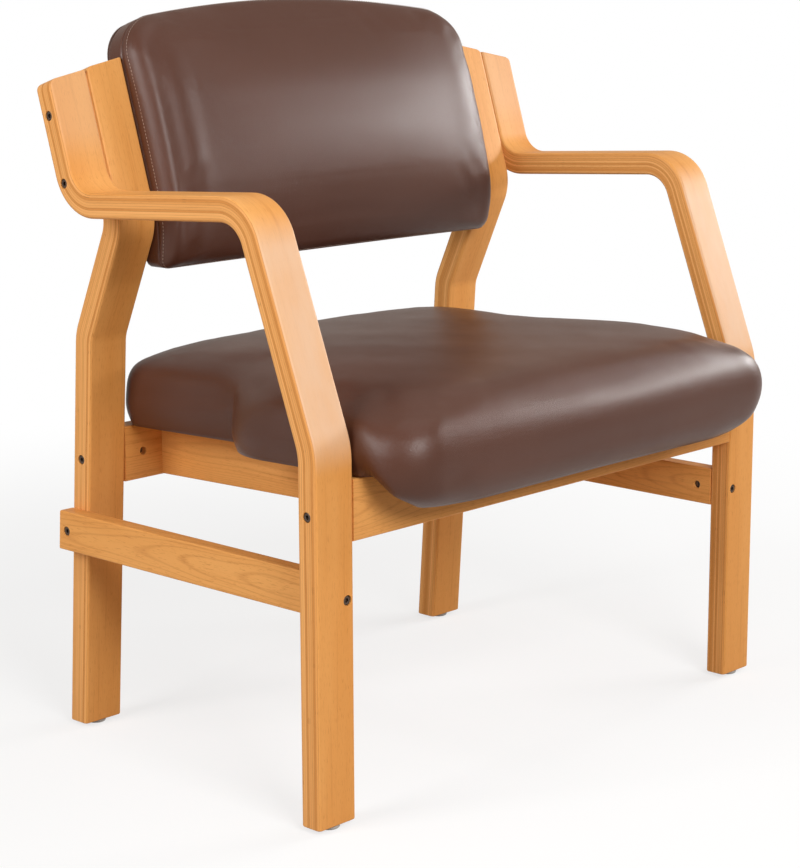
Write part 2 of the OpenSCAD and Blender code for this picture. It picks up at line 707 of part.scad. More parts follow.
// Foam lies on the board, and hangs in front of the board's edge
function foam_low(y) = y > -nose_under + seat_gap ? foam_floor : seat_low(y) + foam_skin + low_slack;
function lifted(p) = [p[0], p[1], max(p[2], foam_low(p[1]))];
module seat_foam() {
    inner = [for (p = seat_outline) concat(under_place(p, hem_w, board_front + seat_gap), foam_floor)];
    under = [for (p = seat_outline) let (q = under_place(p, hem_w * under_share, nose_under))
             [q[0], q[1], foam_low(q[1])]];
    rings = concat([inner, under],
                   [for (r = seat_top_rings(foam_skin, low_slack)) [for (p = r) lifted(p)]]);
    color(foam) placed() seat_frame() difference() {
        skin(rings, concat(seat_centre, foam_floor), concat(seat_centre, seat_top_h - foam_skin));
        translate([0, 0, -seat_roll]) linear_extrude(seat_roll + seat_board_t + seat_gap)
            board_outline(board_lip - soft_gap, board_front + soft_gap);
    }
}

module board_outline(inset, front) { polygon([for (p = seat_outline) under_place(p, inset, front)]); }

module seat_board() {
    color(plywood) placed() seat_frame() difference() {
        linear_extrude(seat_board_t) board_outline(board_lip, board_front);
        for (side = [-1, 1], y = [screw_front, screw_rear_y])
            translate([side * (side_rail_out - rail_t / 2), y, -overrun])
                cylinder(d = screw_d + 2 * thread_gap, h = overrun + seat_board_t - board_skin);
    }
}

// Back: places along the shell's middle, from its lower edge up, and out of its front

function shell_point(x, v, out) = let (s = v - back_low_run - bend_arc)
    s >= 0 ? [x, back_mid_y + s * sin(recline_a) - out * cos(recline_a),
              bend_top_h + s * cos(recline_a) + out * sin(recline_a)]
    : s > -bend_arc ? let (a = recline_a * (1 + s / bend_arc))
        [x, bend_centre[0] - (back_bend_r + out) * cos(a), bend_centre[1] + (back_bend_r + out) * sin(a)]
    : [x, bend_centre[0] - back_bend_r - out, bend_centre[1] + s + bend_arc];

function back_half() = let (
    xt = back_half_w - back_top_r, xl = back_half_w - back_low_r, yt = back_len - back_top_r) concat(
    [[0, back_len]], line([0, back_len], [xt, back_len], long_steps),
    arc(xt, yt, back_top_r, top_angles),
    line([back_half_w, yt], [back_half_w, back_low_run + bend_arc], long_steps),
    line([back_half_w, back_low_run + bend_arc], [back_half_w, back_low_run], bend_steps),
    [[back_half_w, back_low_r]], arc(xl, back_low_r, back_low_r, low_angles),
    line([xl, 0], [0, 0], long_steps));
function arched(p) = [p[0], p[1] - back_arch * pow(p[0] / back_half_w, 2) * pow(p[1] / back_len, 2)];
back_outline = [for (p = both(back_half())) arched(p)];

// Reach of the padded face: fullest at the small of the back
function back_face(p) = let (x = p[0] / back_half_w, v = p[1] / back_len)
    back_low_pad + (back_mid_pad - back_low_pad) * smooth(0, low_share, v)
    - (back_mid_pad - back_top_pad) * smooth(high_share, 1, v)
    - back_hollow * (1 - x * x) * (low_hollow_share + (1 - low_hollow_share) * smooth(0, low_share, v));
function seam_out(p) = min(back_seam, back_face(p) - seam_depth);
function back_flat(p, inset, out) = let (q = towards(p, back_centre, inset)) [q[0], q[1], out];
function back_round_point(p, a, e) = let (s = seam_out(p))
    back_flat(p, back_round * (1 - cos(a)) + e * cos(a), s + (back_face(p) - s) * sin(a) - e * sin(a));
function back_crown_point(p, s, e) = let (q = back_round_point(p, 90, e),
    c = [back_centre[0] + (q[0] - back_centre[0]) * s, back_centre[1] + (q[1] - back_centre[1]) * s])
    [c[0], c[1], back_face(c) + (q[2] - back_face(q)) * s
                 + back_crown * (1 - pow(s, crown_power_share)) - e * (1 - s)];
function back_front_rings(e) = concat(
    [[for (p = back_outline) back_flat(p, e, seam_out(p))]],
    [for (a = round_angles) [for (p = back_outline) back_round_point(p, a, e)]],
    [for (s = crown_shares) [for (p = back_outline) back_crown_point(p, s, e)]]);
function back_rear_rings(e) = let (rear = -back_board_t / 2 - cover_t + e) [
    [for (p = back_outline) back_flat(p, hem_w, rear)],
    [for (p = back_outline) back_flat(p, rear_round, rear)],
    [for (p = back_outline) back_flat(p, e, rear + rear_round - e)]];
back_top_out = back_face(back_centre) + back_crown;
function shaped(rings) = [for (r = rings) [for (p = r) shell_point(p[0], p[1], p[2])]];
function middle_point(out) = shell_point(back_centre[0], back_centre[1], out);

module back_cover() {
    color(vinyl) placed() difference() {
        cover_skin(shaped(concat(back_rear_rings(0), back_front_rings(0))),
                   shaped(concat(back_rear_rings(cover_t), back_front_rings(cover_t))),
                   middle_point(back_top_out), middle_point(back_top_out - cover_t));
        back_bolt_holes();
    }
}

module back_bolt_holes() {
    for (h = back_bolt_hs, side = [-1, 1]) sided(side)
        along_x(back_half_w - insert_l / 2, back_bolt_y(h), h)
            cylinder(d = insert_d + 2 * hole_gap, h = insert_l);
}

module back_foam() {
    rim = [[for (p = back_outline) back_flat(p, foam_skin, 0)]];
    cut_t = 2 * back_board_t;
    color(foam) placed() difference() {
        skin(shaped(concat(rim, back_front_rings(foam_skin))),
             middle_point(0), middle_point(back_top_out - foam_skin));
        shell_slab(half_w, -back_low_run, back_len, cut_t, back_board_t / 2 + seat_gap - cut_t / 2);
    }
}

// Bent sheet that follows the shell's middle line, with rounded corners
module shell_slab(half, low, high, t, out) {
    start = shell_point(0, low, out + t / 2);
    translate([-half, start[1], start[2]])
        flat_run(back_low_run - low, 2 * half, t)
        flat_bend(recline_a, back_bend_r - t / 2 + out, 2 * half, t)
        flat_run(high - back_low_run - bend_arc, 2 * half, t);
}

module shell_sheet(half, low, high, t, out) {
    difference() {
        shell_slab(half, low, high, t, out);
        for (side = [-1, 1]) sided(side) {
            corner_cut(half, shell_point(0, low, 0), 0, back_low_r, -1);
            corner_cut(half, shell_point(0, high, 0), recline_a, back_top_r, 1);
        }
    }
}

module flat_run(len, w, t) {
    cube([w, t, len]);
    translate([0, 0, len]) children();
}

module flat_bend(angle, inner, w, t) {
    turn = true_turn(angle, sheet_nudge_a);
    reach = t + inner;
    translate([0, reach, 0]) {
        difference() {
            rotate([90, 0, -90]) rotate_extrude(angle = turn + spare_turn)
                translate([inner, -w]) square([t, w]);
            rotate([-turn, 0, 0]) translate([-overrun, -reach - overrun, 0])
                cube([w + 2 * overrun, t + 2 * overrun, reach]);
        }
        rotate([-turn, 0, 0]) translate([0, -reach, 0]) children();
    }
}

// Rounds one corner of the sheet, seen from its front
module corner_cut(half, place, lean, r, up) {
    translate([half - r, place[1], place[2]]) rotate([-lean, 0, 0]) mirror([0, 0, up < 0 ? 1 : 0])
        translate([0, back_board_t, -r]) rotate([90, 0, 0]) linear_extrude(2 * back_board_t)
        difference() {
            square(r + overrun);
            circle(r);
        }
}

module back_board() {
    color(plywood) placed() difference() {
        shell_sheet(back_half_w - shell_side, shell_inset, board_top, back_board_t, 0);
        for (h = back_bolt_hs, side = [-1, 1]) sided(side)
            along_x(leg_in - insert_l - bolt_tip - overrun, back_bolt_y(h), h)
                cylinder(d = insert_d + 2 * dowel_gap, h = insert_l + strip_w);
    }
}

module back_panel() {
    color(vinyl) placed()
        shell_sheet(back_half_w - rear_round, rear_round, back_len - back_arch - rear_round,
                    back_panel_t, -back_board_t / 2 - cover_t - seat_gap - back_panel_t / 2);
}

// Fasteners

module back_bolts() {
    color(bronze) placed() for (side = [-1, 1], h = back_bolt_hs) sided(side)
        along_x(half_w, back_bolt_y(h), h) mirror([0, 0, 1]) bolt(back_bolt_l);
}

module back_inserts() {
    color(steel) placed() for (side = [-1, 1], h = back_bolt_hs) sided(side)
        along_x(back_half_w - shell_side, back_bolt_y(h), h) mirror([0, 0, 1]) insert();
}

module front_rail_bolts() {
    color(bronze) placed() for (side = [-1, 1]) sided(side)
        along_x(half_w, arm_t / 2, rail_mid_h) mirror([0, 0, 1]) bolt(rail_bolt_l);
}

module front_rail_nuts() {
    color(bronze) placed() for (side = [-1, 1]) sided(side)
        along_y(arm_in - nut_inset, arm_t / 2 + nut_l / 2, rail_mid_h) mirror([0, 0, 1]) barrel_nut(0);
}

module rear_rail_bolts() {
    color(bronze) placed() for (side = [-1, 1]) sided(side)
        along_x(arm_in, rear_bolt_y, rear_rail_mid_h) mirror([0, 0, 1]) bolt(rail_bolt_l);
}

module rear_rail_nuts() {
    color(bronze) placed() for (side = [-1, 1]) sided(side)
        along_y(leg_in - nut_inset, rear_bolt_y - nut_l / 2, rear_rail_mid_h) barrel_nut(0);
}

module stretcher_front_bolts() {
    color(bronze) placed() for (side = [-1, 1]) sided(side)
        along_y(stretcher_bolt_x, 0, stretcher_mid_h) bolt(stretcher_front_bolt_l);
}

module stretcher_nuts() {
    color(bronze) placed() for (side = [-1, 1]) sided(side)
        along_x(stretcher_bolt_x - nut_l / 2, stretcher_nut_y, stretcher_mid_h) barrel_nut(90);
}

module stretcher_rear_bolts() {
    color(bronze) placed() for (side = [-1, 1]) sided(side)
        along_x(arm_in + stretcher_t, stretcher_bolt_y, stretcher_mid_h) mirror([0, 0, 1])
            bolt(stretcher_rear_bolt_l);
}

module stretcher_inserts() {
    color(steel) placed() for (side = [-1, 1]) sided(side)
        along_x(arm_in, stretcher_bolt_y, stretcher_mid_h) mirror([0, 0, 1]) insert();
}

module front_rail_dowels() {
    color(beech) placed() for (side = [-1, 1], k = [-1, 1]) sided(side)
        along_x(arm_in, arm_t / 2, rail_mid_h + k * dowel_pitch / 2) dowel();
}

module rear_rail_dowels() {
    color(beech) placed() for (side = [-1, 1], k = [-1, 1]) sided(side)
        along_x(leg_in, rear_bolt_y, rear_rail_mid_h + k * dowel_pitch / 2) dowel();
}

module side_rail_dowels() {
    color(beech) placed() for (side = [-1, 1], y = [rail_t, rear_rail_y], k = [-1, 1]) sided(side)
        along_y(side_rail_out - rail_t / 2, y - side_dowel_l / 2, side_dowel_h(y, k))
            cylinder(d = dowel_d, h = side_dowel_l);
}

module seat_screws() {
    color(steel) placed() seat_frame() for (side = [-1, 1], y = [screw_front, screw_rear_y])
        translate([side * (side_rail_out - rail_t / 2), y, -screw_grip]) {
            translate([0, 0, -screw_head_h]) cylinder(d = screw_head_d, h = screw_head_h);
            translate([0, 0, -screw_head_h]) cylinder(d = screw_d, h = screw_head_h + screw_l);
        }
}

module foot_places() {
    for (side = [-1, 1]) sided(side) {
        translate([arm_in + strip_w / 2, arm_t / 2, 0]) children();
        translate([leg_in + strip_w / 2, foot_y + leg_t / 2, 0]) children();
    }
}

module foot_glides() {
    rim = glide_h / 2;
    color(glide_grey) placed() foot_places() difference() {
        rotate_extrude() {
            square([glide_d / 2 - rim, glide_h]);
            translate([0, rim]) square([glide_d / 2, glide_h - rim]);
            translate([glide_d / 2 - rim, rim]) circle(rim);
        }
        translate([0, 0, glide_h / 2]) cylinder(d = nail_d + 2 * dowel_gap, h = glide_h);
    }
}

module glide_nails() {
    color(steel) placed() foot_places()
        translate([0, 0, glide_h / 2]) cylinder(d = nail_d, h = glide_h / 2 + nail_l);
}

arm_frame(-1);  // arm_frame_left
arm_frame(1);  // arm_frame_right
rear_leg(-1);  // rear_leg_left
rear_leg(1);  // rear_leg_right
front_rail();
rear_rail();
side_rail(-1);  // side_rail_left
side_rail(1);  // side_rail_right
side_stretcher(-1);  // side_stretcher_left
side_stretcher(1);  // side_stretcher_right
seat_board();
seat_foam();
seat_cover();
back_board();
back_foam();
back_cover();
back_panel();
back_bolts();
back_inserts();
front_rail_bolts();
front_rail_nuts();
rear_rail_bolts();
rear_rail_nuts();
stretcher_front_bolts();
stretcher_nuts();
stretcher_rear_bolts();
stretcher_inserts();
front_rail_dowels();
rear_rail_dowels();
side_rail_dowels();
seat_screws();
foot_glides();
glide_nails();
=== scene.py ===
"""Looks of a wide patient armchair: laminated frame, rails and stretchers, padded seat and back."""
import math

import bpy
import numpy as np
from mathutils import Matrix, Vector
from mathutils.kdtree import KDTree


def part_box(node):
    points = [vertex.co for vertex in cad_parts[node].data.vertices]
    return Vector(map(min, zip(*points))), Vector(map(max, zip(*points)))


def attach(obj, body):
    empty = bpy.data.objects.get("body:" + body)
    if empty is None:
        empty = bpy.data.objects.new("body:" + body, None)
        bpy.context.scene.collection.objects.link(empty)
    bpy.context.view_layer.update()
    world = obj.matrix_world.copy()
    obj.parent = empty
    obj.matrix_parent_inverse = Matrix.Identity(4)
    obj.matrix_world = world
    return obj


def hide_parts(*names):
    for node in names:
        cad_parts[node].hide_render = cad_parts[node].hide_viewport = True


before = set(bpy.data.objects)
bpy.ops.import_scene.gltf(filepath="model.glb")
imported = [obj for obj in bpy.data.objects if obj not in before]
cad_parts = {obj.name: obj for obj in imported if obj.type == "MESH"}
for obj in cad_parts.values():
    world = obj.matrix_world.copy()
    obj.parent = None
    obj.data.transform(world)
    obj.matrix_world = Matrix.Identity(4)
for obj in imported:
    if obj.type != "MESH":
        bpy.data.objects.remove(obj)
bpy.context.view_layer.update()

# Driving dimensions, in metres and degrees. Heights are over the floor, and depths are from
# the front face of the front legs, which the frame gives.
MM = 0.001
FRONT_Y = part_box("arm_frame_left")[0].y
HALF_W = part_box("arm_frame_right")[1].x
STRIP_W = HALF_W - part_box("arm_frame_right")[0].x
ARM_IN = HALF_W - STRIP_W
LEG_IN = ARM_IN - STRIP_W
GLIDE_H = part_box("arm_frame_left")[0].z
ARM_T = 28 * MM
LEG_T = 30 * MM
EDGE_R = 4 * MM
BEND_R = 34 * MM
KNEE_R = 60 * MM
KNEE_H = 420 * MM
SLANT = math.radians(20.6)
ARM_H = 680 * MM
ARM_RISE = math.radians(3.1)
ARM_REACH = 380.5 * MM
RECLINE = math.radians(17)
ARM_TOP_H = 801 * MM
LEG_REACH = 429.5 * MM
HIP_H = 485 * MM
RAKE = math.radians(3.9)
LEAN = math.radians(24)
LEG_TOP_H = 813 * MM
TOP_SLOPE = math.radians(11)
TOP_CORNER_R = 12 * MM
RAIL_T = 25 * MM
RAIL_TOP_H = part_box("front_rail")[1].z
SEAT_TILT = math.radians(1.5)
STRETCHER_T = 21 * MM
STRETCHER_MID_H = (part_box("side_stretcher_left")[0].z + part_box("side_stretcher_left")[1].z) / 2
COVER_T = 1.2 * MM
SEAT_GAP = 0.3 * MM
SEAT_LIFT = COVER_T + SEAT_GAP
BOLT_HEAD_R = 5.5 * MM
BOLT_HEAD_H = 5 * MM
BOLT_SUNK = 0.8 * MM
BOLT_CLEARANCE = 0.3 * MM
BOLT_HOLE_R = BOLT_HEAD_R + BOLT_CLEARANCE
BOLT_SHANK_R = 3 * MM
SOCKET_R = 2.6 * MM
BACK_BOLT_HEIGHTS = (750 * MM, 675 * MM)

TAU = 2 * math.pi


def smooth(start, end, x):
    """Eases from 0 to 1 as x goes from start to end."""
    t = np.clip((x - start) / (end - start), 0, 1)
    return t * t * (3 - 2 * t)


def mix(a, b, share):
    """The value at a share of the way from a to b."""
    return a + (b - a) * share


def bump(x, centre, width):
    """A smooth hump of height 1 at centre."""
    return np.exp(-((x - centre) / width) ** 2)


def add_object(name, data):
    """Puts an object with this data in the scene."""
    made = bpy.data.objects.new(name, data)
    bpy.context.scene.collection.objects.link(made)
    return made


def new_piece(name, points, faces, material=None):
    """A smooth mesh object in the frame, with its place in its points."""
    mesh = bpy.data.meshes.new(name)
    mesh.from_pydata([tuple(p) for p in points], [], [tuple(int(i) for i in f) for f in faces])
    mesh.validate()
    mesh.update()
    mesh.shade_smooth()
    piece = add_object(name, mesh)
    if material:
        mesh.materials.append(material)
    return piece


def flatten_modifiers(piece):
    """Turns a piece's modifiers into its mesh."""
    graph = bpy.context.evaluated_depsgraph_get()
    mesh = bpy.data.meshes.new_from_object(piece.evaluated_get(graph))
    piece.modifiers.clear()
    piece.data = mesh


# Node trees for materials, the world and Geometry Nodes, with numbers that take the usual operators


def operator(operation, reflected=False):
    """A method that joins a number and another value by a Math node."""

    def joined(number, other):
        first, second = (other, number) if reflected else (number, other)
        return number.math(operation, {0: first, 1: second})

    return joined


class Number:
    """A socket's number. Operators on it add Math nodes."""

    def __init__(self, owner, socket):
        self.owner = owner
        self.socket = socket

    def math(self, operation, values):
        """One Math node."""
        return self.owner.node("ShaderNodeMath", values, operation=operation)

    __add__ = operator("ADD")
    __radd__ = operator("ADD", reflected=True)
    __sub__ = operator("SUBTRACT")
    __rsub__ = operator("SUBTRACT", reflected=True)
    __mul__ = operator("MULTIPLY")
    __rmul__ = operator("MULTIPLY", reflected=True)
    __truediv__ = operator("DIVIDE")
    __pow__ = operator("POWER")
    larger = operator("MAXIMUM")

    def floor(self):
        """The whole number below."""
        return self.math("FLOOR", {0: self})

    def fraction(self):
        """What is over that whole number."""
        return self.math("FRACT", {0: self})

    def size(self):
        """The number without its sign."""
        return self.math("ABSOLUTE", {0: self})

    def eased(self, start, end):
        """0 below start, 1 above end, smooth between. Start may be the higher one."""
        low, high = (0, 1) if start < end else (1, 0)
        ends = {0: self, 1: min(start, end), 2: max(start, end), 3: low, 4: high}
        return self.owner.node("ShaderNodeMapRange", ends, interpolation_type="SMOOTHSTEP")


class Tree:
    """Nodes that are added one at a time."""

    def node(self, kind, inputs=None, out=0, **settings):
        """Any node: its settings first, then its sockets. Gives one output as a Number."""
        made = self.tree.nodes.new(kind)
        for name, value in settings.items():
            setattr(made, name, value)
        for key, value in (inputs or {}).items():
            self.feed(made.inputs[key], value)
        return Number(self, made.outputs[out])

    def feed(self, socket, value):
        """Links a Number to a socket, or sets a plain value on it."""
        if isinstance(value, Number):
            self.tree.links.new(value.socket, socket)
        elif isinstance(value, (tuple, list)) and socket.type == "RGBA" and len(value) == 3:
            socket.default_value = (*value, 1)
        else:
            socket.default_value = value

    def vector(self, x, y, z):
        """A vector from three numbers."""
        return self.node("ShaderNodeCombineXYZ", {0: x, 1: y, 2: z})


class Shader(Tree):
    """The nodes of a new material, or of a world."""

    def __init__(self, name, world=None):
        self.material = world or bpy.data.materials.new(name)
        self.material.use_nodes = True
        self.tree = self.material.node_tree
        self.tree.nodes.clear()
        self.output = self.tree.nodes.new("ShaderNodeOutput" + ("World" if world else "Material"))

    def parts(self, vector):
        """The three numbers of a vector."""
        first = self.node("ShaderNodeSeparateXYZ", {0: vector})
        return [Number(self, socket) for socket in first.socket.node.outputs]

    def place(self):
        """The piece's own coordinates, in metres."""
        return self.parts(self.node("ShaderNodeTexCoord", out="Object"))

    def noise(self, x, y, z, scale=1, detail=2, roughness=0.5):
        """Cloudy noise from 0 to 1."""
        spot = self.vector(x, y, z)
        return self.node("ShaderNodeTexNoise", {
            "Vector": spot, "Scale": scale, "Detail": detail, "Roughness": roughness})

    def chance(self, number):
        """A number from 0 to 1 that a whole number picks."""
        return self.node("ShaderNodeTexWhiteNoise", {"W": number}, noise_dimensions="1D")

    def blend(self, share, first, second):
        """Mixes two colours."""
        return self.node("ShaderNodeMix", {0: share, 6: first, 7: second}, 2, data_type="RGBA")

    def relief(self, height, strength, distance):
        """A fine relief for the surface's normal."""
        return self.node("ShaderNodeBump", {"Strength": strength, "Distance": distance, "Height": height})

    def show(self, surface):
        """Gives the material or the world its surface."""
        self.feed(self.output.inputs["Surface"], surface)

    def finish(self, **sockets):
        """The surface, from the sockets of one Principled BSDF."""
        names = {name.replace("_", " ").title(): value for name, value in sockets.items()}
        names = {name.replace("Ior", "IOR"): value for name, value in names.items()}
        self.show(self.node("ShaderNodeBsdfPrincipled", names))
        return self.material


# Wood

BEECH_LIGHT = (0.86, 0.420, 0.130)
BEECH_MID = (0.76, 0.325, 0.080)
BEECH_DARK = (0.50, 0.175, 0.035)
PLY_PALE = (0.88, 0.44, 0.150)
PLY_BROWN = (0.46, 0.155, 0.034)
GLUE_LINE = (0.20, 0.062, 0.014)
# Colour of the painted highlight on the arm's leaning and upturned stretches.
PAINTED_SHEEN_BEECH = (0.80, 0.55, 0.38)
RAW_BEECH = (0.62, 0.45, 0.27)
WOOD_RELIEF = 0.4 * MM
PLY_T = 2.8 * MM
PLY_WAVER = 0.8 * MM

# The plies show from where the strip's rounded edge starts to where it ends.
PLY_START = 0.6 * MM
PLY_FULL = 2.2 * MM

# Painted highlight: the arm's leaning stretch, and a little its upturned stretch, are painted paler to
# stand for the lamps' reflection on them, not for the veneer's own colour.
PAINTED_SHEEN_FROM = 385 * MM
PAINTED_SHEEN_TO = 620 * MM
PAINTED_SHEEN_AGAIN = 980 * MM
PAINTED_SHEEN_EASE = 50 * MM

# The growth rings of the seat rails are widest at this height.
RING_MIDDLE_H = RAIL_TOP_H - 34 * MM
RING_CURVE = 5200


def grain_colour(shader, along, across, deep):
    """Beech seen along its grain: broad tones, streaks and short pores."""
    broad = shader.noise(along * 1.6, across * 14, deep * 14, 1, 3)
    streak = shader.noise(along * 5, across * 210, deep * 210, 1, 3, 0.6)
    pores = shader.noise(along * 95, across * 1300, deep * 1300, 1, 1)
    tone = broad.eased(0.30, 0.72)
    base = shader.blend(tone, BEECH_MID, BEECH_LIGHT)
    streaked = shader.blend(streak.eased(0.52, 0.80) * 0.42, base, BEECH_DARK)
    return shader.blend(pores.eased(0.60, 0.72) * 0.45, streaked, BEECH_DARK), streak, pores


def satin(shader, colour, streak, pores):
    """A clear satin lacquer over the wood."""
    height = streak * 0.5 - pores * 0.5
    return shader.finish(
        base_color=colour,
        roughness=0.40 + streak * 0.12,
        normal=shader.relief(height, 0.16, WOOD_RELIEF),
        specular_ior_level=0.16,
        coat_weight=0.04,
        coat_roughness=0.24,
    )


def laminate(name, thickness, painted_sheen):
    """Glued plies: the wood's grain on the faces, and layers where the strip's edge is cut."""
    shader = Shader(name)
    along, across, _ = shader.parts(shader.node("ShaderNodeUVMap", uv_map="grain"))
    deep, side, _ = shader.parts(shader.node("ShaderNodeUVMap", uv_map="ply"))
    waver = shader.noise(along * 4, side * 3, deep * 40, 1, 2) - 0.5
    cut = deep.eased(PLY_START, PLY_FULL) * deep.eased(thickness - PLY_START, thickness - PLY_FULL)
    layer = (deep + waver * cut * PLY_WAVER) / PLY_T + 0.5
    ply = layer.floor()
    tone = shader.chance(ply + side * 37)
    plain, streak, pores = grain_colour(shader, along + ply * 0.37, across, deep + ply * 0.05)
    mottle = shader.noise(along * 13, across * 30, side, 1, 3).eased(0.25, 0.7)
    # Painted highlight on the arm's leaning and upturned stretches, broken up by mottle and kept off the
    # cut edges.
    slanted = along.eased(PAINTED_SHEEN_FROM, PAINTED_SHEEN_FROM + PAINTED_SHEEN_EASE) * along.eased(PAINTED_SHEEN_TO + PAINTED_SHEEN_EASE, PAINTED_SHEEN_TO)
    upturned = along.eased(PAINTED_SHEEN_AGAIN, PAINTED_SHEEN_AGAIN + PAINTED_SHEEN_EASE)
    pale = (slanted * (0.72 + mottle * 0.28) + upturned * 0.3) * painted_sheen
    colour = shader.blend(pale * (1 - cut), plain, PAINTED_SHEEN_BEECH)
    edge_streak = shader.noise(along * 7 + ply * 3.1, deep * 900, side, 1, 3)
    layered = shader.blend(tone.eased(0.15, 0.85) * cut, colour, PLY_PALE)
    brown = shader.blend(tone.eased(0.75, 0.1) * cut * 0.42, layered, PLY_BROWN)
    streaked = shader.blend(edge_streak.eased(0.5, 0.78) * cut * 0.45, brown, PLY_BROWN)
    off_middle = (layer.fraction() - 0.5).size()
    seam = off_middle.eased(0.42, 0.485)
    patchy = shader.noise(along * 9, ply * 5.3, side, 1, 2).eased(0.36, 0.62)
    glued = shader.blend(seam * (0.22 + patchy * 0.42), streaked, GLUE_LINE)
    gap = shader.noise(along * 55, ply * 9.7, side * 4, 1, 1).eased(0.71, 0.76)
    flecked = shader.blend(gap * off_middle.eased(0.30, 0.42) * 0.75 * cut, glued, GLUE_LINE)
    return satin(shader, flecked, streak, pores)


def solid_beech(name, direction, middle_h, seed):
    """Sawn beech along x or y, with growth rings that are widest at a middle height."""
    shader = Shader(name)
    x, y, z = shader.place()
    along, across, deep = (x, z, y) if direction == "x" else (y, z, x)
    colour, streak, pores = grain_colour(shader, along + seed, across, deep)
    sway = shader.noise(along * 2.4 + seed, across * 9, deep * 5, 1, 2) - 0.5
    middle = across - middle_h
    rings = middle * middle * RING_CURVE + along * 7 + sway * 9 + deep * 60
    line = ((rings + seed).fraction() - 0.5).size().eased(0.30, 0.5)
    ringed = shader.blend(line * 0.28, colour, BEECH_DARK)
    return satin(shader, ringed, streak, pores)


def ply_board():
    """Plain plywood under the seat and in the back."""
    shader = Shader("plywood_board")
    x, y, z = shader.place()
    colour, streak, pores = grain_colour(shader, x, y, z * 0.2)
    raw = shader.blend(0.45, colour, RAW_BEECH)
    return satin(shader, raw, streak, pores)


# Coated fabric, metals and plastics

VINYL = (0.084, 0.027, 0.014)
VINYL_PALE = (0.102, 0.036, 0.021)
FOAM_CREAM = (0.85, 0.78, 0.52)
FOAM_SHADE = (0.62, 0.55, 0.34)
LEATHER_CELLS = 720
LEATHER_PORES = 1500
LEATHER_RELIEF = 0.25 * MM
STEEL_RELIEF = 0.05 * MM
PLASTIC_RELIEF = 0.1 * MM
FOAM_RELIEF = 0.3 * MM


def tinted(colour, share):
    """A colour made lighter or darker by a share."""
    return tuple(min(1, c * share) for c in colour)


def coated_fabric(name, colour, pale, roughness):
    """Vinyl with a fine leather grain, a little rubbed in places."""
    shader = Shader(name)
    x, y, z = shader.place()
    cells = shader.node("ShaderNodeTexVoronoi", {
        "Vector": shader.vector(x, y, z), "Scale": LEATHER_CELLS}, feature="DISTANCE_TO_EDGE")
    fine = shader.noise(x, y, z, LEATHER_PORES, 2)
    broad = shader.noise(x, y, z, 7, 2)
    rubbed = shader.noise(x, y, z, 26, 3)
    crease = cells.eased(0.02, 0.16)
    tone = shader.blend(broad.eased(0.3, 0.7) * 0.5, colour, pale)
    # Painted shade: the grain's creases, the low grooves of its relief, are darkened.
    crease_shaded = shader.blend((1 - crease) * 0.22, tone, tinted(colour, 0.55))
    return shader.finish(
        base_color=crease_shaded,
        roughness=roughness + (rubbed - 0.5) * 0.10,
        normal=shader.relief(crease * 0.7 + fine * 0.3, 0.34, LEATHER_RELIEF),
        specular_ior_level=0.42,
    )


def metal(name, colour, roughness, metallic=0.85):
    """Steel, a little worn."""
    shader = Shader(name)
    x, y, z = shader.place()
    worn = shader.noise(x, y, z, 420, 3)
    shade = shader.blend(worn.eased(0.4, 0.75) * 0.5, colour, tinted(colour, 1.8))
    return shader.finish(
        base_color=shade,
        metallic=metallic,
        roughness=roughness + worn * 0.15,
        normal=shader.relief(worn, 0.1, STEEL_RELIEF),
    )


def plastic(name, colour):
    """A matt moulded or spun plastic."""
    shader = Shader(name)
    x, y, z = shader.place()
    mottled = shader.noise(x, y, z, 160, 3)
    shade = shader.blend(mottled * 0.4, colour, tinted(colour, 0.8))
    relief = shader.relief(mottled, 0.08, PLASTIC_RELIEF)
    return shader.finish(base_color=shade, roughness=0.42 + mottled * 0.1, normal=relief)


def foam_fill():
    """Open-pored foam."""
    shader = Shader("foam_fill")
    x, y, z = shader.place()
    pits = shader.noise(x, y, z, 900, 2)
    shade = shader.blend(pits * 0.4, FOAM_CREAM, FOAM_SHADE)
    return shader.finish(base_color=shade, roughness=0.9, normal=shader.relief(pits, 0.3, FOAM_RELIEF))


# The arm's strip carries the painted highlight; the leg's strip carries none.
ARM_LAMINATE = laminate("laminated_arm_beech", ARM_T, 0.8)
LEG_LAMINATE = laminate("laminated_leg_beech", LEG_T, 0.0)
CROSS_BEECH = solid_beech("beech_cross_rail", "x", RING_MIDDLE_H, 3.2)
SIDE_BEECH = solid_beech("beech_side_rail", "y", RING_MIDDLE_H, 7.9)
STRETCHER_BEECH = solid_beech("beech_stretcher", "y", STRETCHER_MID_H, 12.4)
DOWEL_BEECH = solid_beech("beech_dowel", "x", RING_MIDDLE_H, 21.3)
PLYWOOD = ply_board()
FABRIC = coated_fabric("coated_fabric", VINYL, VINYL_PALE, 0.35)
PANEL_FABRIC = coated_fabric("panel_fabric", tinted(VINYL, 0.8), VINYL, 0.46)
BRONZE = metal("bronzed_steel", (0.10, 0.072, 0.056), 0.30)
ZINC = metal("zinc_steel", (0.55, 0.56, 0.57), 0.30, 1.0)
GLIDE = plastic("glide_plastic", (0.50, 0.49, 0.48))
THREAD = plastic("stitching_thread", (0.42, 0.30, 0.24))
STAPLE = metal("staple_wire", (0.03, 0.022, 0.018), 0.4)
FOAM = foam_fill()


# Laminated strips: a rounded section carried along runs and bends

STRIP_END_R = 1.5 * MM
STRIP_END_CLEAR = 4 * MM
RUN_STEP = 30 * MM
CUTTER_OVER = 3 * MM
CUTTER_SIDES = 40
CRISP_ANGLE = math.radians(35)
HEAD_CRISP_ANGLE = math.radians(38)


def band_faces(count, ring_count):
    """Faces between neighbouring rings that have as many points each."""
    faces = []
    for k in range(ring_count - 1):
        for i in range(count):
            a, b = k * count + i, k * count + (i + 1) % count
            faces.append((a, b, b + count, a + count))
    return faces


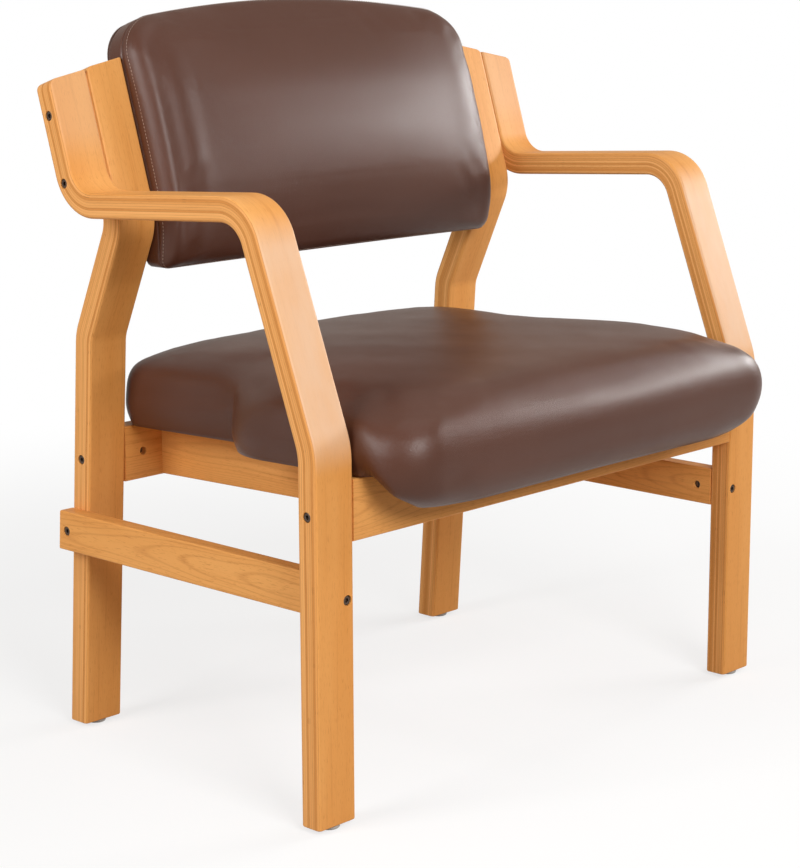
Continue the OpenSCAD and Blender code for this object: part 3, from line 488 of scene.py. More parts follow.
class Path:
    """A strip's front face in depth and height, walked from the floor up."""

    def __init__(self, start, heading):
        self.place = np.array(start, float)
        self.heading = heading
        self.stations = []
        self.length = 0.0

    def ahead(self):
        """The way on, in depth and height."""
        return np.array([math.sin(self.heading), math.cos(self.heading)])

    def inward(self):
        """The way from the front face into the strip."""
        return np.array([math.cos(self.heading), -math.sin(self.heading)])

    def mark(self):
        """Keeps where the path is, with its ways in and ahead and its length so far."""
        self.stations.append((self.place.copy(), self.inward(), self.ahead(), self.length))

    def run(self, length):
        """Goes straight ahead."""
        self.mark()
        count = max(1, round(length / RUN_STEP))
        for _ in range(count):
            self.place = self.place + self.ahead() * (length / count)
            self.length += length / count
            self.mark()

    def bend(self, angle, inner_r, thickness, back, steps):
        """Turns towards the rear face if back, else towards the front face."""
        reach = thickness + inner_r if back else -inner_r
        middle = self.place + self.inward() * reach
        turn = angle / steps if back else -angle / steps
        for _ in range(steps):
            self.heading += turn
            self.place = middle - self.inward() * reach
            self.length += (inner_r + thickness / 2) * angle / steps
            self.mark()


def strip_section(thickness, inset):
    """Places across the strip and the depths of its front and rear face there."""
    r = EDGE_R
    start = r - r * np.cos(np.linspace(0, math.pi / 2, 7))
    middle = np.linspace(r, STRIP_W - TOP_CORNER_R, 8)[1:]
    corner = np.linspace(STRIP_W - TOP_CORNER_R, STRIP_W - r, 5)[1:-1]
    across = np.concatenate([start, middle, corner, (STRIP_W - start)[::-1]])
    near = np.minimum(across, STRIP_W - across)
    drop = np.where(near < r, r - np.sqrt(np.maximum(0, r * r - (r - near) ** 2)), 0)
    share = (STRIP_W - 2 * inset) / STRIP_W
    return inset + across * share, inset + drop * share, thickness - inset - drop * share


def top_end(across, length):
    """Distance along a strip at which its sloping, rounded upper end stands."""
    fall = STRIP_W * math.tan(TOP_SLOPE)
    corner = TOP_CORNER_R / math.tan(math.pi / 4 + TOP_SLOPE / 2)
    middle = STRIP_W - TOP_CORNER_R
    flat = length - across * math.tan(TOP_SLOPE)
    out = np.clip(across - middle, 0, TOP_CORNER_R)
    round_end = length - fall - corner + np.sqrt(np.maximum(0, TOP_CORNER_R**2 - out**2))
    return np.where(across > middle + TOP_CORNER_R * math.sin(TOP_SLOPE), round_end, flat)


def strip_ring(station, thickness, inset, shift=None):
    """Places across, depths, points and length of one ring, which a shift moves along the strip."""
    place, inward, ahead, length = station
    across, front, rear = strip_section(thickness, inset)
    both = np.concatenate([across, across[::-1]])
    depth = np.concatenate([front, rear[::-1]])
    move = shift(both, depth) if shift else np.zeros(len(both))
    return both, depth, place + inward * depth[:, None] + ahead * move[:, None], length


def strip_rings(path, thickness, foot_slope):
    """Rings from the foot, which slopes with the floor, to the sloping upper end."""
    rings = []
    place, inward, ahead, start = path.stations[0]
    turns = np.linspace(0, math.pi / 2, 4)
    for turn in turns[::-1]:
        lift = STRIP_END_R * (1 - math.sin(turn))
        rings.append(strip_ring(
            (place, inward, ahead, start + lift), thickness, STRIP_END_R * (1 - math.cos(turn)),
            lambda across, depth: lift - depth * math.tan(foot_slope)))
    clear = path.length - STRIP_W * math.tan(TOP_SLOPE) - TOP_CORNER_R - STRIP_END_CLEAR
    for station in path.stations[1:]:
        if station[3] < clear:
            rings.append(strip_ring(station, thickness, 0))
    place, inward, ahead, length = path.stations[-1]
    rings.append(strip_ring((place - ahead * (length - clear), inward, ahead, clear), thickness, 0))
    for turn in turns:
        drop = STRIP_END_R * (1 - math.sin(turn))
        rings.append(strip_ring(
            path.stations[-1], thickness, STRIP_END_R * (1 - math.cos(turn)),
            lambda across, depth: top_end(across, length) - length - drop))
    return rings


def strip_piece(name, path, inner_x, thickness, side, finish, foot_slope=0):
    """The whole strip, with a map along and across it and a map of its depth."""
    rings = strip_rings(path, thickness, foot_slope)
    count = len(rings[0][0])
    points, grain, ply = [], [], []
    for across, depth, spots, length in rings:
        for x, d, (y, z) in zip(across, depth, spots):
            points.append((side * (inner_x + x), FRONT_Y + y, z))
            grain.append((length, x))
            ply.append((d, side * 0.31 + inner_x))
    faces = band_faces(count, len(rings))
    for first, is_foot in ((0, True), ((len(rings) - 1) * count, False)):
        for i in range(count // 2 - 1):
            a, d = first + i, first + count - 1 - i
            faces.append((d, d - 1, a + 1, a) if is_foot else (a, a + 1, d - 1, d))
    if side < 0:
        faces = [face[::-1] for face in faces]
    piece = new_piece(name, points, faces, finish)
    store_map(piece, "grain", grain)
    store_map(piece, "ply", ply)
    return piece


def store_map(piece, name, values):
    """A UV map with one value for each point."""
    layer = piece.data.uv_layers.new(name=name)
    table = np.array(values)
    corners = np.empty(len(piece.data.loops), np.int64)
    piece.data.loops.foreach_get("vertex_index", corners)
    layer.data.foreach_set("uv", table[corners].ravel())


def drill(piece, holes):
    """Cuts round holes, each from a place along a direction with a radius and a depth."""
    cutters = []
    for place, direction, radius, depth in holes:
        turn = Vector(direction).to_track_quat("Z", "Y").to_matrix()
        points = []
        for z in (-CUTTER_OVER, depth):
            for i in range(CUTTER_SIDES):
                a = TAU * i / CUTTER_SIDES
                spot = turn @ Vector((radius * math.cos(a), radius * math.sin(a), z))
                points.append(Vector(place) + spot)
        faces = band_faces(CUTTER_SIDES, 2)
        faces.append(tuple(range(CUTTER_SIDES))[::-1])
        faces.append(tuple(range(CUTTER_SIDES, 2 * CUTTER_SIDES)))
        cutter = new_piece("cutter", points, faces)
        cutters.append(cutter)
        cut = piece.modifiers.new("hole", "BOOLEAN")
        cut.operation, cut.solver, cut.object = "DIFFERENCE", "EXACT", cutter
    flatten_modifiers(piece)
    for cutter in cutters:
        bpy.data.objects.remove(cutter)


def crisp(piece):
    """Keeps flat faces flat and edges crisp, with smooth bends."""
    piece.data.shade_smooth()
    piece.data.set_sharp_from_angle(angle=CRISP_ANGLE)
    weights = piece.modifiers.new("even_faces", "WEIGHTED_NORMAL")
    weights.keep_sharp = True
    weights.weight = 80


def arm_path():
    """The arm frame's strip, and the height of its rear corner."""
    corner_y = (ARM_H - KNEE_H) * math.tan(SLANT)
    arm_turn = math.pi / 2 + ARM_RISE - SLANT
    back_turn = math.pi / 2 + ARM_RISE - RECLINE
    back_corner_h = ARM_H - (ARM_REACH - corner_y) * math.tan(ARM_RISE)
    knee_len = (ARM_T + KNEE_R) * math.tan(SLANT / 2)
    front_len = (ARM_T + BEND_R) * math.tan(arm_turn / 2)
    rear_len = BEND_R * math.tan(back_turn / 2)
    path = Path((0, GLIDE_H), 0)
    path.run(KNEE_H - GLIDE_H - knee_len)
    path.bend(SLANT, KNEE_R, ARM_T, True, 8)
    path.run((ARM_H - KNEE_H) / math.cos(SLANT) - knee_len - front_len)
    path.bend(arm_turn, BEND_R, ARM_T, True, 22)
    path.run((ARM_REACH - corner_y) / math.cos(ARM_RISE) - front_len - rear_len)
    path.bend(back_turn, BEND_R, ARM_T, False, 22)
    path.run((ARM_TOP_H - back_corner_h) / math.cos(RECLINE) - rear_len)
    return path, back_corner_h


def recline_y(height):
    """Depth of the reclined stretch's front face at a height."""
    return ARM_REACH + (height - BACK_CORNER_H) * math.tan(RECLINE)


def rake_y(height):
    """Depth of the raked foot's front face at a height."""
    return LEG_REACH + (HIP_H - height) * math.tan(RAKE)


def leg_path():
    """The back leg's strip: raked foot, forward-leaning middle, reclined upper stretch."""
    bend_h = (LEG_REACH - ARM_REACH + HIP_H * math.tan(LEAN) + BACK_CORNER_H * math.tan(RECLINE)) / (
        math.tan(LEAN) + math.tan(RECLINE))
    hip_turn = LEAN - RAKE
    leg_turn = LEAN + RECLINE
    hip_len = BEND_R * math.tan(hip_turn / 2)
    bend_len = (LEG_T + BEND_R) * math.tan(leg_turn / 2)
    path = Path((rake_y(GLIDE_H), GLIDE_H), -RAKE)
    path.run((HIP_H - GLIDE_H) / math.cos(RAKE) - hip_len)
    path.bend(hip_turn, BEND_R, LEG_T, False, 8)
    path.run((bend_h - HIP_H) / math.cos(LEAN) - hip_len - bend_len)
    path.bend(leg_turn, BEND_R, LEG_T, True, 14)
    path.run((LEG_TOP_H - bend_h) / math.cos(RECLINE) - bend_len)
    return path


def back_bolt_y(height):
    """Depth of the reclined stretch's middle at a height."""
    return recline_y(height) + LEG_T / 2 / math.cos(RECLINE)


ARM_PATH, BACK_CORNER_H = arm_path()
LEG_PATH = leg_path()
RAIL_MID_H = (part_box("front_rail")[0].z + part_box("front_rail")[1].z) / 2
REAR_RAIL_MID_H = (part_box("rear_rail")[0].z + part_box("rear_rail")[1].z) / 2
REAR_BOLT_Y = rake_y(REAR_RAIL_MID_H) + LEG_T / 2 / math.cos(RAKE)
STRETCHER_BOLT_Y = rake_y(STRETCHER_MID_H) + LEG_T / 2 / math.cos(RAKE)
STRETCHER_BOLT_X = ARM_IN + STRETCHER_T / 2


# Bolts of the right side by the node they stand for: place on the wood's face, and the way in
INWARD = (-1, 0, 0)
BOLTS = {
    "back_bolts": [((HALF_W, back_bolt_y(h), h), INWARD) for h in BACK_BOLT_HEIGHTS],
    "front_rail_bolts": [((HALF_W, ARM_T / 2, RAIL_MID_H), INWARD)],
    "rear_rail_bolts": [((ARM_IN, REAR_BOLT_Y, REAR_RAIL_MID_H), INWARD)],
    "stretcher_front_bolts": [((STRETCHER_BOLT_X, 0, STRETCHER_MID_H), (0, 1, 0))],
    "stretcher_rear_bolts": [((ARM_IN + STRETCHER_T, STRETCHER_BOLT_Y, STRETCHER_MID_H), INWARD)],
}


def on_side(side, place, direction):
    """A place and a direction of the right side, mirrored for the left one."""
    x, y, z = place
    return (side * x, FRONT_Y + y, z), (side * direction[0], direction[1], direction[2])


def make_strips():
    """Both arm frames and back legs, with recesses for the bolt heads."""
    head_hole = BOLT_HEAD_H + BOLT_SUNK
    for side, word in ((-1, "left"), (1, "right")):
        arm = strip_piece("arm_laminate_" + word, ARM_PATH, ARM_IN, ARM_T, side, ARM_LAMINATE)
        arm_bolts = BOLTS["back_bolts"] + BOLTS["front_rail_bolts"] + BOLTS["stretcher_front_bolts"]
        drill(arm, [(*on_side(side, *b), BOLT_HOLE_R, head_hole) for b in arm_bolts])
        leg = strip_piece("leg_laminate_" + word, LEG_PATH, LEG_IN, LEG_T, side, LEG_LAMINATE, RAKE)
        drill(leg, [(*on_side(side, *b), BOLT_HOLE_R, head_hole) for b in BOLTS["rear_rail_bolts"]])
        for piece, node in ((arm, "arm_frame_"), (leg, "rear_leg_")):
            crisp(piece)
            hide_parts(node + word)
            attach(piece, "root")


make_strips()


# Cushions


def spread(points, count):
    """Even steps along an open line of points."""
    points = np.array(points, float)
    lengths = np.concatenate([[0], np.cumsum(np.linalg.norm(np.diff(points, axis=0), axis=1))])
    even = np.linspace(0, lengths[-1], count)
    return np.stack([np.interp(even, lengths, points[:, k]) for k in range(2)], axis=1)


def arc_points(x, y, r, start, end):
    """Points of an arc round x, y from one angle to another, in degrees."""
    turn = np.radians(np.linspace(start, end, 16))
    return [(x + r * math.cos(a), y + r * math.sin(a)) for a in turn]


def closed(half):
    """A half outline from the middle of the rear to the middle of the front, and its mirror."""
    other = half[1:-1][::-1].copy()
    other[:, 0] *= -1
    return np.concatenate([half, other])


def towards(points, centre, distance):
    """Moves points of an outline straight to its centre by a distance."""
    way = centre - points
    return points + way * (np.asarray(distance) / np.linalg.norm(way, axis=1))[:, None]


def ringed(rings, first, last):
    """Points and faces of a closed skin over rings, with a point at each end."""
    count = len(rings[0])
    points = np.concatenate([*rings, [first, last]])
    faces = [(a, d, c, b) for a, b, c, d in band_faces(count, len(rings))]
    top = (len(rings) - 1) * count
    for i in range(count):
        j = (i + 1) % count
        faces.append((i, j, len(points) - 2))
        faces.append((top + j, top + i, len(points) - 1))
    return points, faces


def rolling_mean(lines, reach):
    """Mean over a given reach of each line of points, which keeps its two ends."""
    step = np.linalg.norm(np.diff(lines, axis=0), axis=2).mean()
    width = int(3 * reach / step)
    weights = np.exp(-0.5 * (np.arange(-width, width + 1) * step / reach) ** 2)
    weights /= weights.sum()
    before = 2 * lines[0] - lines[width:0:-1]
    after = 2 * lines[-1] - lines[-2:-width - 2:-1]
    padded = np.concatenate([before, lines, after])
    return sum(w * padded[i:i + len(lines)] for i, w in enumerate(weights))


def evened(rings, count, reach):
    """Evens out the lines that run up a cushion through its rings, at their full size."""
    lines = np.array(rings)
    steps = np.linalg.norm(np.diff(lines, axis=0), axis=2)
    walked = np.concatenate([np.zeros((1, lines.shape[1])), np.cumsum(steps, axis=0)])
    even = np.linspace(0, 1, count)
    out = np.empty((count, lines.shape[1], 3))
    for i in range(lines.shape[1]):
        for k in range(3):
            out[:, i, k] = np.interp(even * walked[-1, i], walked[:, i], lines[:, i, k])
    # The mean of a mean shows how far one mean shrinks the form, and that is added back.
    once = rolling_mean(out, reach)
    return list(2 * once - rolling_mean(once, reach))


CLOTH_VOXEL = 6 * MM
CLOTH_PRESSURE = 4
CLOTH_FRAMES = 20
CLOTH_NEIGHBOURS = 14
SEAT_SETTLE = 2.5 * MM
BACK_SETTLE = 3 * MM


def spots_of(mesh):
    """A mesh's points as a table."""
    table = np.empty(len(mesh.vertices) * 3)
    mesh.vertices.foreach_get("co", table)
    return table.reshape(-1, 3)


def tree_of(spots):
    """A search tree that finds the nearest of the spots."""
    tree = KDTree(len(spots))
    for i, spot in enumerate(spots):
        tree.insert(spot, i)
    tree.balance()
    return tree


def cloth_copy(name, points, faces, free):
    """An evenly meshed copy of a cushion, held where its cover is tacked or sewn."""
    piece = new_piece(name, points, faces)
    even = piece.modifiers.new("even", "REMESH")
    even.mode = "VOXEL"
    even.voxel_size = CLOTH_VOXEL
    flatten_modifiers(piece)
    tree = tree_of(points)
    held = piece.vertex_groups.new(name="held")
    for i, spot in enumerate(spots_of(piece.data)):
        held.add([i], float(1 - free[tree.find(spot)[1]]), "REPLACE")
    return piece


def settled(name, points, faces, free, most):
    """Blows the cover up as cloth for a moment, and carries that over to the cushion's points."""
    piece = cloth_copy(name, points, faces, free)
    start = spots_of(piece.data)
    cloth = piece.modifiers.new("cloth", "CLOTH").settings
    cloth.use_pressure = True
    cloth.uniform_pressure_force = CLOTH_PRESSURE
    cloth.effector_weights.gravity = 0
    cloth.vertex_group_mass = "held"
    for number in range(1, CLOTH_FRAMES + 1):
        bpy.context.scene.frame_set(number)
    flatten_modifiers(piece)
    move = spots_of(piece.data) - start
    bpy.context.scene.frame_set(1)
    bpy.data.objects.remove(piece)
    size = np.linalg.norm(move, axis=1)
    move *= np.minimum(1, most / np.maximum(size, 1e-9))[:, None]
    tree = tree_of(start)
    out = np.array(points)
    for i, spot in enumerate(points):
        found = tree.find_n(spot, CLOTH_NEIGHBOURS)
        weights = [1 / (far + CLOTH_VOXEL) for _, _, far in found]
        out[i] += free[i] * sum(w * move[k] for w, (_, k, _) in zip(weights, found)) / sum(weights)
    return out


# Seat: sizes over the rails' top and from the front face of the front legs
SOFT_GAP = 0.5 * MM
SEAT_FRONT_HALF = ARM_IN - SOFT_GAP
SEAT_REAR_HALF = LEG_IN - SOFT_GAP
SEAT_REAR = 455 * MM
SEAT_OVERHANG = 79 * MM
SEAT_BOW = 4 * MM
SEAT_REAR_R = 27 * MM
SEAT_FRONT_R = 60 * MM
SHOULDER_REAR = 236 * MM
SHOULDER_FRONT = 142 * MM
SOFT_SHOULDER_REAR = SHOULDER_REAR + 50 * MM
SOFT_SHOULDER_FRONT = SHOULDER_FRONT - 30 * MM
SEAT_EDGE_H = 65 * MM
SEAT_REAR_LIFT = 10 * MM
SEAT_REAR_ARCH = 10 * MM
REAR_CORNER_SAG = 2 * MM
FRONT_CORNER_SAG = 4 * MM
FRONT_SAG_START = 120 * MM
FRONT_SAG_END = -60 * MM
SEAT_CROWN = 25 * MM
SEAT_ROLL = 37 * MM
SEAT_CENTRE = np.array([0, 0.44 * SEAT_REAR])
SIDE_DRAW = 13 * MM
NOSE_DRAW = 32 * MM
NOSE_START = 4 * MM
NOSE_RUN = 38 * MM
HEM_W = 24 * MM
HEM_FRONT = 8 * MM
HEM_FOLD = 6 * MM
SEAT_LOW_TURN = math.radians(75)
SEAT_HALF_COUNT = 190
SEAT_SHELL_RINGS = 84
HELD_RINGS = 10
SEAT_SOFTNESS = 17 * MM

# The cover lies a little slack over the top, and pulls run out to the front corners.
SLACK_SIZE = 0.8 * MM
SLACK_H = 30 * MM
SLACK_RUN = 30 * MM
PULL_SIZE = 0.25 * MM
PULL_X = 300 * MM
PULL_W = 40 * MM


def seat_outline(softness):
    """Outline from above. Softness eases the inner corner where the front lobe starts."""
    xr, xf = SEAT_REAR_HALF - SEAT_REAR_R, SEAT_FRONT_HALF - SEAT_FRONT_R
    yr, yf = SEAT_REAR - SEAT_REAR_R, -SEAT_OVERHANG + SEAT_FRONT_R
    side = []
    for t in np.linspace(0, 1, 60):
        x = mix(SEAT_REAR_HALF, SEAT_FRONT_HALF, math.sin(math.pi / 2 * t))
        side.append((x, SHOULDER_REAR - (SHOULDER_REAR - SHOULDER_FRONT) * t**1.6))
    sharp = [(0, SEAT_REAR)] + arc_points(xr, yr, SEAT_REAR_R, 90, 0)
    soft = list(sharp)
    sharp += side + [(SEAT_FRONT_HALF, yf)]
    for y in np.linspace(SOFT_SHOULDER_REAR, SOFT_SHOULDER_FRONT, 60):
        share = float(smooth(SOFT_SHOULDER_FRONT, SOFT_SHOULDER_REAR, y))
        soft.append((mix(SEAT_FRONT_HALF, SEAT_REAR_HALF, share), y))
    soft += [(SEAT_FRONT_HALF, yf)]
    for line in (sharp, soft):
        line += arc_points(xf, yf, SEAT_FRONT_R, 0, -90)[1:]
        for share in np.linspace(0, 1, 20)[1:]:
            x = xf * (1 - share)
            line.append((x, -SEAT_OVERHANG - SEAT_BOW * (1 - (x / xf) ** 2)))
    return mix(spread(sharp, SEAT_HALF_COUNT), spread(soft, SEAT_HALF_COUNT), softness)


def nose(y):
    """1 on the seat's overhanging front roll, 0 behind it."""
    return smooth(0, -NOSE_RUN, y)


def seat_edge(spots):
    """Height of the padding's upper edge, which arches at the rear and sags at the corners."""
    x, y = abs(spots[:, 0]), spots[:, 1]
    rear = smooth(0.35 * SEAT_REAR_HALF, SEAT_REAR_HALF, x) * smooth(0.4 * SEAT_REAR, SEAT_REAR, y)
    front = smooth(0.5 * SEAT_FRONT_HALF, SEAT_FRONT_HALF, x) * smooth(FRONT_SAG_START, FRONT_SAG_END, y)
    lift = SEAT_REAR_LIFT * smooth(0, SEAT_REAR, y) - REAR_CORNER_SAG * rear - FRONT_CORNER_SAG * front
    arch = SEAT_REAR_ARCH * (1 - (x / SEAT_REAR_HALF) ** 4) * smooth(0.3 * SEAT_REAR, SEAT_REAR, y)
    return SEAT_EDGE_H + lift + np.maximum(0, arch)


def seat_low(y):
    """Height of the padding's lower edge, which rolls down over the front rail."""
    return -COVER_T - SEAT_ROLL * smooth(-NOSE_START, -NOSE_START - NOSE_RUN, y)


def edge_draw(points):
    """How far the upper edge is drawn in."""
    return SIDE_DRAW + (NOSE_DRAW - SIDE_DRAW) * nose(points[:, 1])


def low_edge_draw(points):
    """How far the lower edge is drawn in, most at the front corners."""
    front = nose(points[:, 1])
    corner = front * smooth(0.62 * SEAT_FRONT_HALF, SEAT_FRONT_HALF, abs(points[:, 0]))
    return edge_draw(points) * (0.82 + 0.18 * front) * (1 + 0.9 * corner)


def seat_side_ring(outline, turn):
    """Ring round the padding's side, from under its edge up to the start of its crown."""
    front = nose(outline[:, 1])
    draw = low_edge_draw(outline) if turn < 0 else edge_draw(outline)
    spots = towards(outline, SEAT_CENTRE, draw * (1 - math.cos(turn)))
    low, edge = seat_low(spots[:, 1]), seat_edge(spots)
    middle = low + (edge - low) * (0.42 + 0.1 * front)
    under = middle + (middle - low) * math.sin(turn) / math.sin(SEAT_LOW_TURN)
    height = under if turn < 0 else middle + (edge - middle) * math.sin(turn)
    return np.column_stack([spots, height])


def seat_half_at(y):
    """Half the seat's width at a depth."""
    return SEAT_FRONT_HALF - (SEAT_FRONT_HALF - SEAT_REAR_HALF) * smooth(
        SHOULDER_FRONT - SEAT_FRONT_R, SHOULDER_REAR + SEAT_FRONT_R, y)


def seat_crown_ring(edge_ring, share):
    """Ring over the top at a share of the edge ring's size, flatter at the rear."""
    spots = SEAT_CENTRE + (edge_ring[:, :2] - SEAT_CENTRE) * share
    x, y = spots[:, 0], spots[:, 1]
    half_len = (SEAT_REAR + SEAT_OVERHANG) / 2
    u = x / (seat_half_at(y) - SIDE_DRAW)
    v = (y - SEAT_REAR + half_len) / (half_len - SIDE_DRAW)
    rear = smooth(SHOULDER_FRONT, SEAT_REAR, y)
    square = 5 + 7 * rear
    out = np.minimum(1, (abs(u) ** square + abs(v) ** square) ** (1 / square))
    rise = SEAT_CROWN * (1 - 0.5 * rear) * np.sqrt(1 - out ** (3.35 + 0.8 * rear))
    return np.column_stack([spots, seat_edge(spots) + rise])


def hem_ring(outline, inset, lift):
    """Ring of the cover's hem under the board."""
    drawn = low_edge_draw(outline) * (1 - math.cos(SEAT_LOW_TURN))
    spots = towards(outline, SEAT_CENTRE, drawn + inset)
    spots[:, 1] = np.maximum(spots[:, 1], -HEM_FRONT)
    return np.column_stack([spots, seat_low(spots[:, 1]) + lift])


def seat_place(points):
    """From the tilted seat plane to the frame."""
    y, z = points[:, 1] - RAIL_T, points[:, 2]
    c, s = math.cos(SEAT_TILT), math.sin(SEAT_TILT)
    return np.column_stack([
        points[:, 0], FRONT_Y + RAIL_T + y * c + z * s, RAIL_TOP_H + SEAT_LIFT - y * s + z * c])


def seat_wrinkles(points):
    """Small lasting pulls in the cover, so that its highlights aren't ruled lines."""
    x, y, z = points[:, 0], points[:, 1], points[:, 2]
    top = smooth(0, SLACK_RUN, z - SLACK_H)
    slack = 0.5 * np.sin(x * 21 + 1.3) * np.sin(y * 17 + 0.4) + 0.3 * np.sin(x * 47 + y * 39)
    corner = bump(abs(x), PULL_X, PULL_W) * smooth(0, -PULL_W, y)
    pulls = np.sin((x * 0.8 + y) * 210 + 3 * np.sin(x * 30)) * corner
    return SLACK_SIZE * slack * top + PULL_SIZE * pulls


def make_seat():
    """The padded seat: hem under the board, drawn-in sides, front roll and crown."""
    sharp, soft = closed(seat_outline(0)), closed(seat_outline(1))
    rings = [hem_ring(sharp, HEM_W, HEM_FOLD), hem_ring(sharp, HEM_W, 0)]
    rings += [hem_ring(sharp, HEM_W * share, 0) for share in (0.7, 0.4, 0.2)]
    shell = []
    for turn in np.linspace(-SEAT_LOW_TURN, math.pi / 2, 34):
        ease = float(smooth(math.radians(-10), math.radians(70), turn))
        shell.append(seat_side_ring(mix(sharp, soft, ease), turn))
    edge_ring = shell[-1]
    for share in np.concatenate([np.linspace(1, 0.7, 40)[1:], np.linspace(0.7, 0.03, 20)[1:]]):
        shell.append(seat_crown_ring(edge_ring, share))
    rings += evened(shell, SEAT_SHELL_RINGS, SEAT_SOFTNESS)
    middle_top = rings[-1][:, 2].mean()
    points, faces = ringed(rings, (*SEAT_CENTRE, HEM_FOLD), (*SEAT_CENTRE, middle_top))
    points[:, 2] += seat_wrinkles(points) * (points[:, 2] > 0)
    ring_number = np.arange(len(points)) // len(sharp)
    first_free = len(rings) - SEAT_SHELL_RINGS
    free = smooth(first_free, first_free + HELD_RINGS, ring_number)
    free[-2] = 0
    places = settled("seat_cloth", seat_place(points), faces, free, SEAT_SETTLE)
    piece = new_piece("seat_cushion", places, faces, FABRIC)
    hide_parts("seat_cover", "seat_foam")
    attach(piece, "root")


# Back: sizes along the shell from its lower edge, across it and out of its middle
BACK_LOW_H = 569 * MM
BACK_LEN = 312 * MM
BACK_BOARD_T = 18 * MM
BACK_BEND_R = 150 * MM
BACK_TOP_R = 50 * MM
BACK_LOW_R = 12 * MM
BACK_ARCH = 24 * MM
BACK_LOW_ARCH = 1 * MM
BACK_TOP_PAD = 40 * MM
BACK_MID_PAD = 51 * MM
BACK_LOW_PAD = 22 * MM
BACK_HOLLOW = 6 * MM
BACK_CROWN = 13 * MM
BACK_LOW_RUN = 33 * MM
BACK_HALF = LEG_IN - SOFT_GAP
BACK_CENTRE = np.array([0, 0.48 * BACK_LEN])
BACK_SEAM = 15 * MM
SEAM_DEPTH = 8 * MM
SEAM_HALF_W = 2 * MM
BACK_ROUND = 38 * MM
BACK_SIDE_ROUND = 24 * MM
REAR_ROUND = 2.5 * MM
BACK_HALF_COUNT = 170
BACK_PANEL_RINGS = 72
BACK_SOFTNESS = 6 * MM
HELD_RUN = 12 * MM

# Insets and heights of the rings that go down into the seam and up out of it again
SEAM_GROOVE = ((0, -SEAM_HALF_W), (0.3 * MM, -1.1 * MM), (1.1 * MM, -0.3 * MM), (1.1 * MM, 0.3 * MM),
               (0.2 * MM, 1.1 * MM), (-0.2 * MM, SEAM_HALF_W))

# Each ridge or valley beside the side seams: height, distance from the edge and width
SIDE_FOLDS = ((2.0 * MM, 9 * MM, 7 * MM), (-3.2 * MM, 25 * MM, 10 * MM), (2.2 * MM, 47 * MM, 14 * MM))
FAR_FOLD_SHARE = 0.25
WAVE_SIZE = 0.5 * MM
WAVE_START = 20 * MM
WAVE_FULL = 70 * MM
BEND_ARC = BACK_BEND_R * RECLINE
BEND_TOP_H = BACK_LOW_H + BACK_LOW_RUN + BACK_BEND_R * math.sin(RECLINE)
BACK_MID_Y = recline_y(BEND_TOP_H) + LEG_T / 2 / math.cos(RECLINE)


def shell_place(points):
    """From across, along the shell and out of its front, to the frame."""
    x, v, out = points[:, 0], points[:, 1], points[:, 2]
    s = v - BACK_LOW_RUN - BEND_ARC
    lean = RECLINE * np.clip(1 + s / BEND_ARC, 0, 1)
    up, below = np.maximum(s, 0), np.minimum(s + BEND_ARC, 0)
    middle_y = BACK_MID_Y + BACK_BEND_R * math.cos(RECLINE)
    middle_z = BEND_TOP_H - BACK_BEND_R * math.sin(RECLINE)
    y = middle_y - (BACK_BEND_R + out) * np.cos(lean) + up * math.sin(RECLINE)
    z = middle_z + (BACK_BEND_R + out) * np.sin(lean) + up * math.cos(RECLINE) + below
    return np.column_stack([x, FRONT_Y + y, z])


def back_outline():
    """Outline of the back along its shell, with an arched top."""
    xt, xl = BACK_HALF - BACK_TOP_R, BACK_HALF - BACK_LOW_R
    line = [(0, BACK_LEN)] + arc_points(xt, BACK_LEN - BACK_TOP_R, BACK_TOP_R, 90, 0)
    line += arc_points(xl, BACK_LOW_R, BACK_LOW_R, 0, -90) + [(0, 0)]
    outline = closed(spread(line, BACK_HALF_COUNT))
    across, up = outline[:, 0] / BACK_HALF, outline[:, 1] / BACK_LEN
    drop = BACK_ARCH * across**2 * up**2 - BACK_LOW_ARCH * (1 - across**2) * (1 - up) ** 3
    return np.column_stack([outline[:, 0], outline[:, 1] - drop])


def back_face(spots):
    """Thickness of the padding: full at the middle, less at the top, rolled in at the bottom."""
    x, v = spots[:, 0] / BACK_HALF, spots[:, 1] / BACK_LEN
    rise = np.sqrt(1 - (1 - np.clip(v / 0.5, 0, 1)) ** 2)
    return (BACK_LOW_PAD + (BACK_MID_PAD - BACK_LOW_PAD) * rise
            - (BACK_MID_PAD - BACK_TOP_PAD) * smooth(0.6, 1, v)
            - BACK_HOLLOW * (1 - x * x) * (0.6 + 0.4 * rise))


def seam_out(spots):
    """How far out of the shell's middle the seam runs."""
    return np.minimum(BACK_SEAM, back_face(spots) - SEAM_DEPTH)


def back_ring(outline, inset, out):
    """Ring inside the outline by an inset, out of the shell's middle."""
    return np.column_stack([towards(outline, BACK_CENTRE, inset), out * np.ones(len(outline))])


def back_round(outline):
    """Radius of the front panel's edge, tighter at the sides."""
    beside = smooth(0.8, 0.98, abs(outline[:, 0]) / BACK_HALF)
    return mix(BACK_ROUND, BACK_SIDE_ROUND, beside)


def back_round_ring(outline, turn):
    """Ring on the panel's rounded edge, from the seam at 0 to the face at a right angle."""
    seam = seam_out(outline)
    inset = back_round(outline) * (1 - math.cos(turn))
    out = seam + (back_face(towards(outline, BACK_CENTRE, inset)) - seam) * math.sin(turn)
    return back_ring(outline, inset, out)


def back_crown(spots, share):
    """Even swell of the panel, free of ridges towards its corners."""
    u = spots[:, 0] / (BACK_HALF - BACK_SIDE_ROUND)
    v = (spots[:, 1] / BACK_LEN - 0.5) / (0.5 - BACK_ROUND / BACK_LEN)
    swell = np.clip(1 - u**2, 0, 1) * np.clip(1 - v**2, 0, 1)
    return BACK_CROWN * swell**1.3 * smooth(1, 0.86, share)


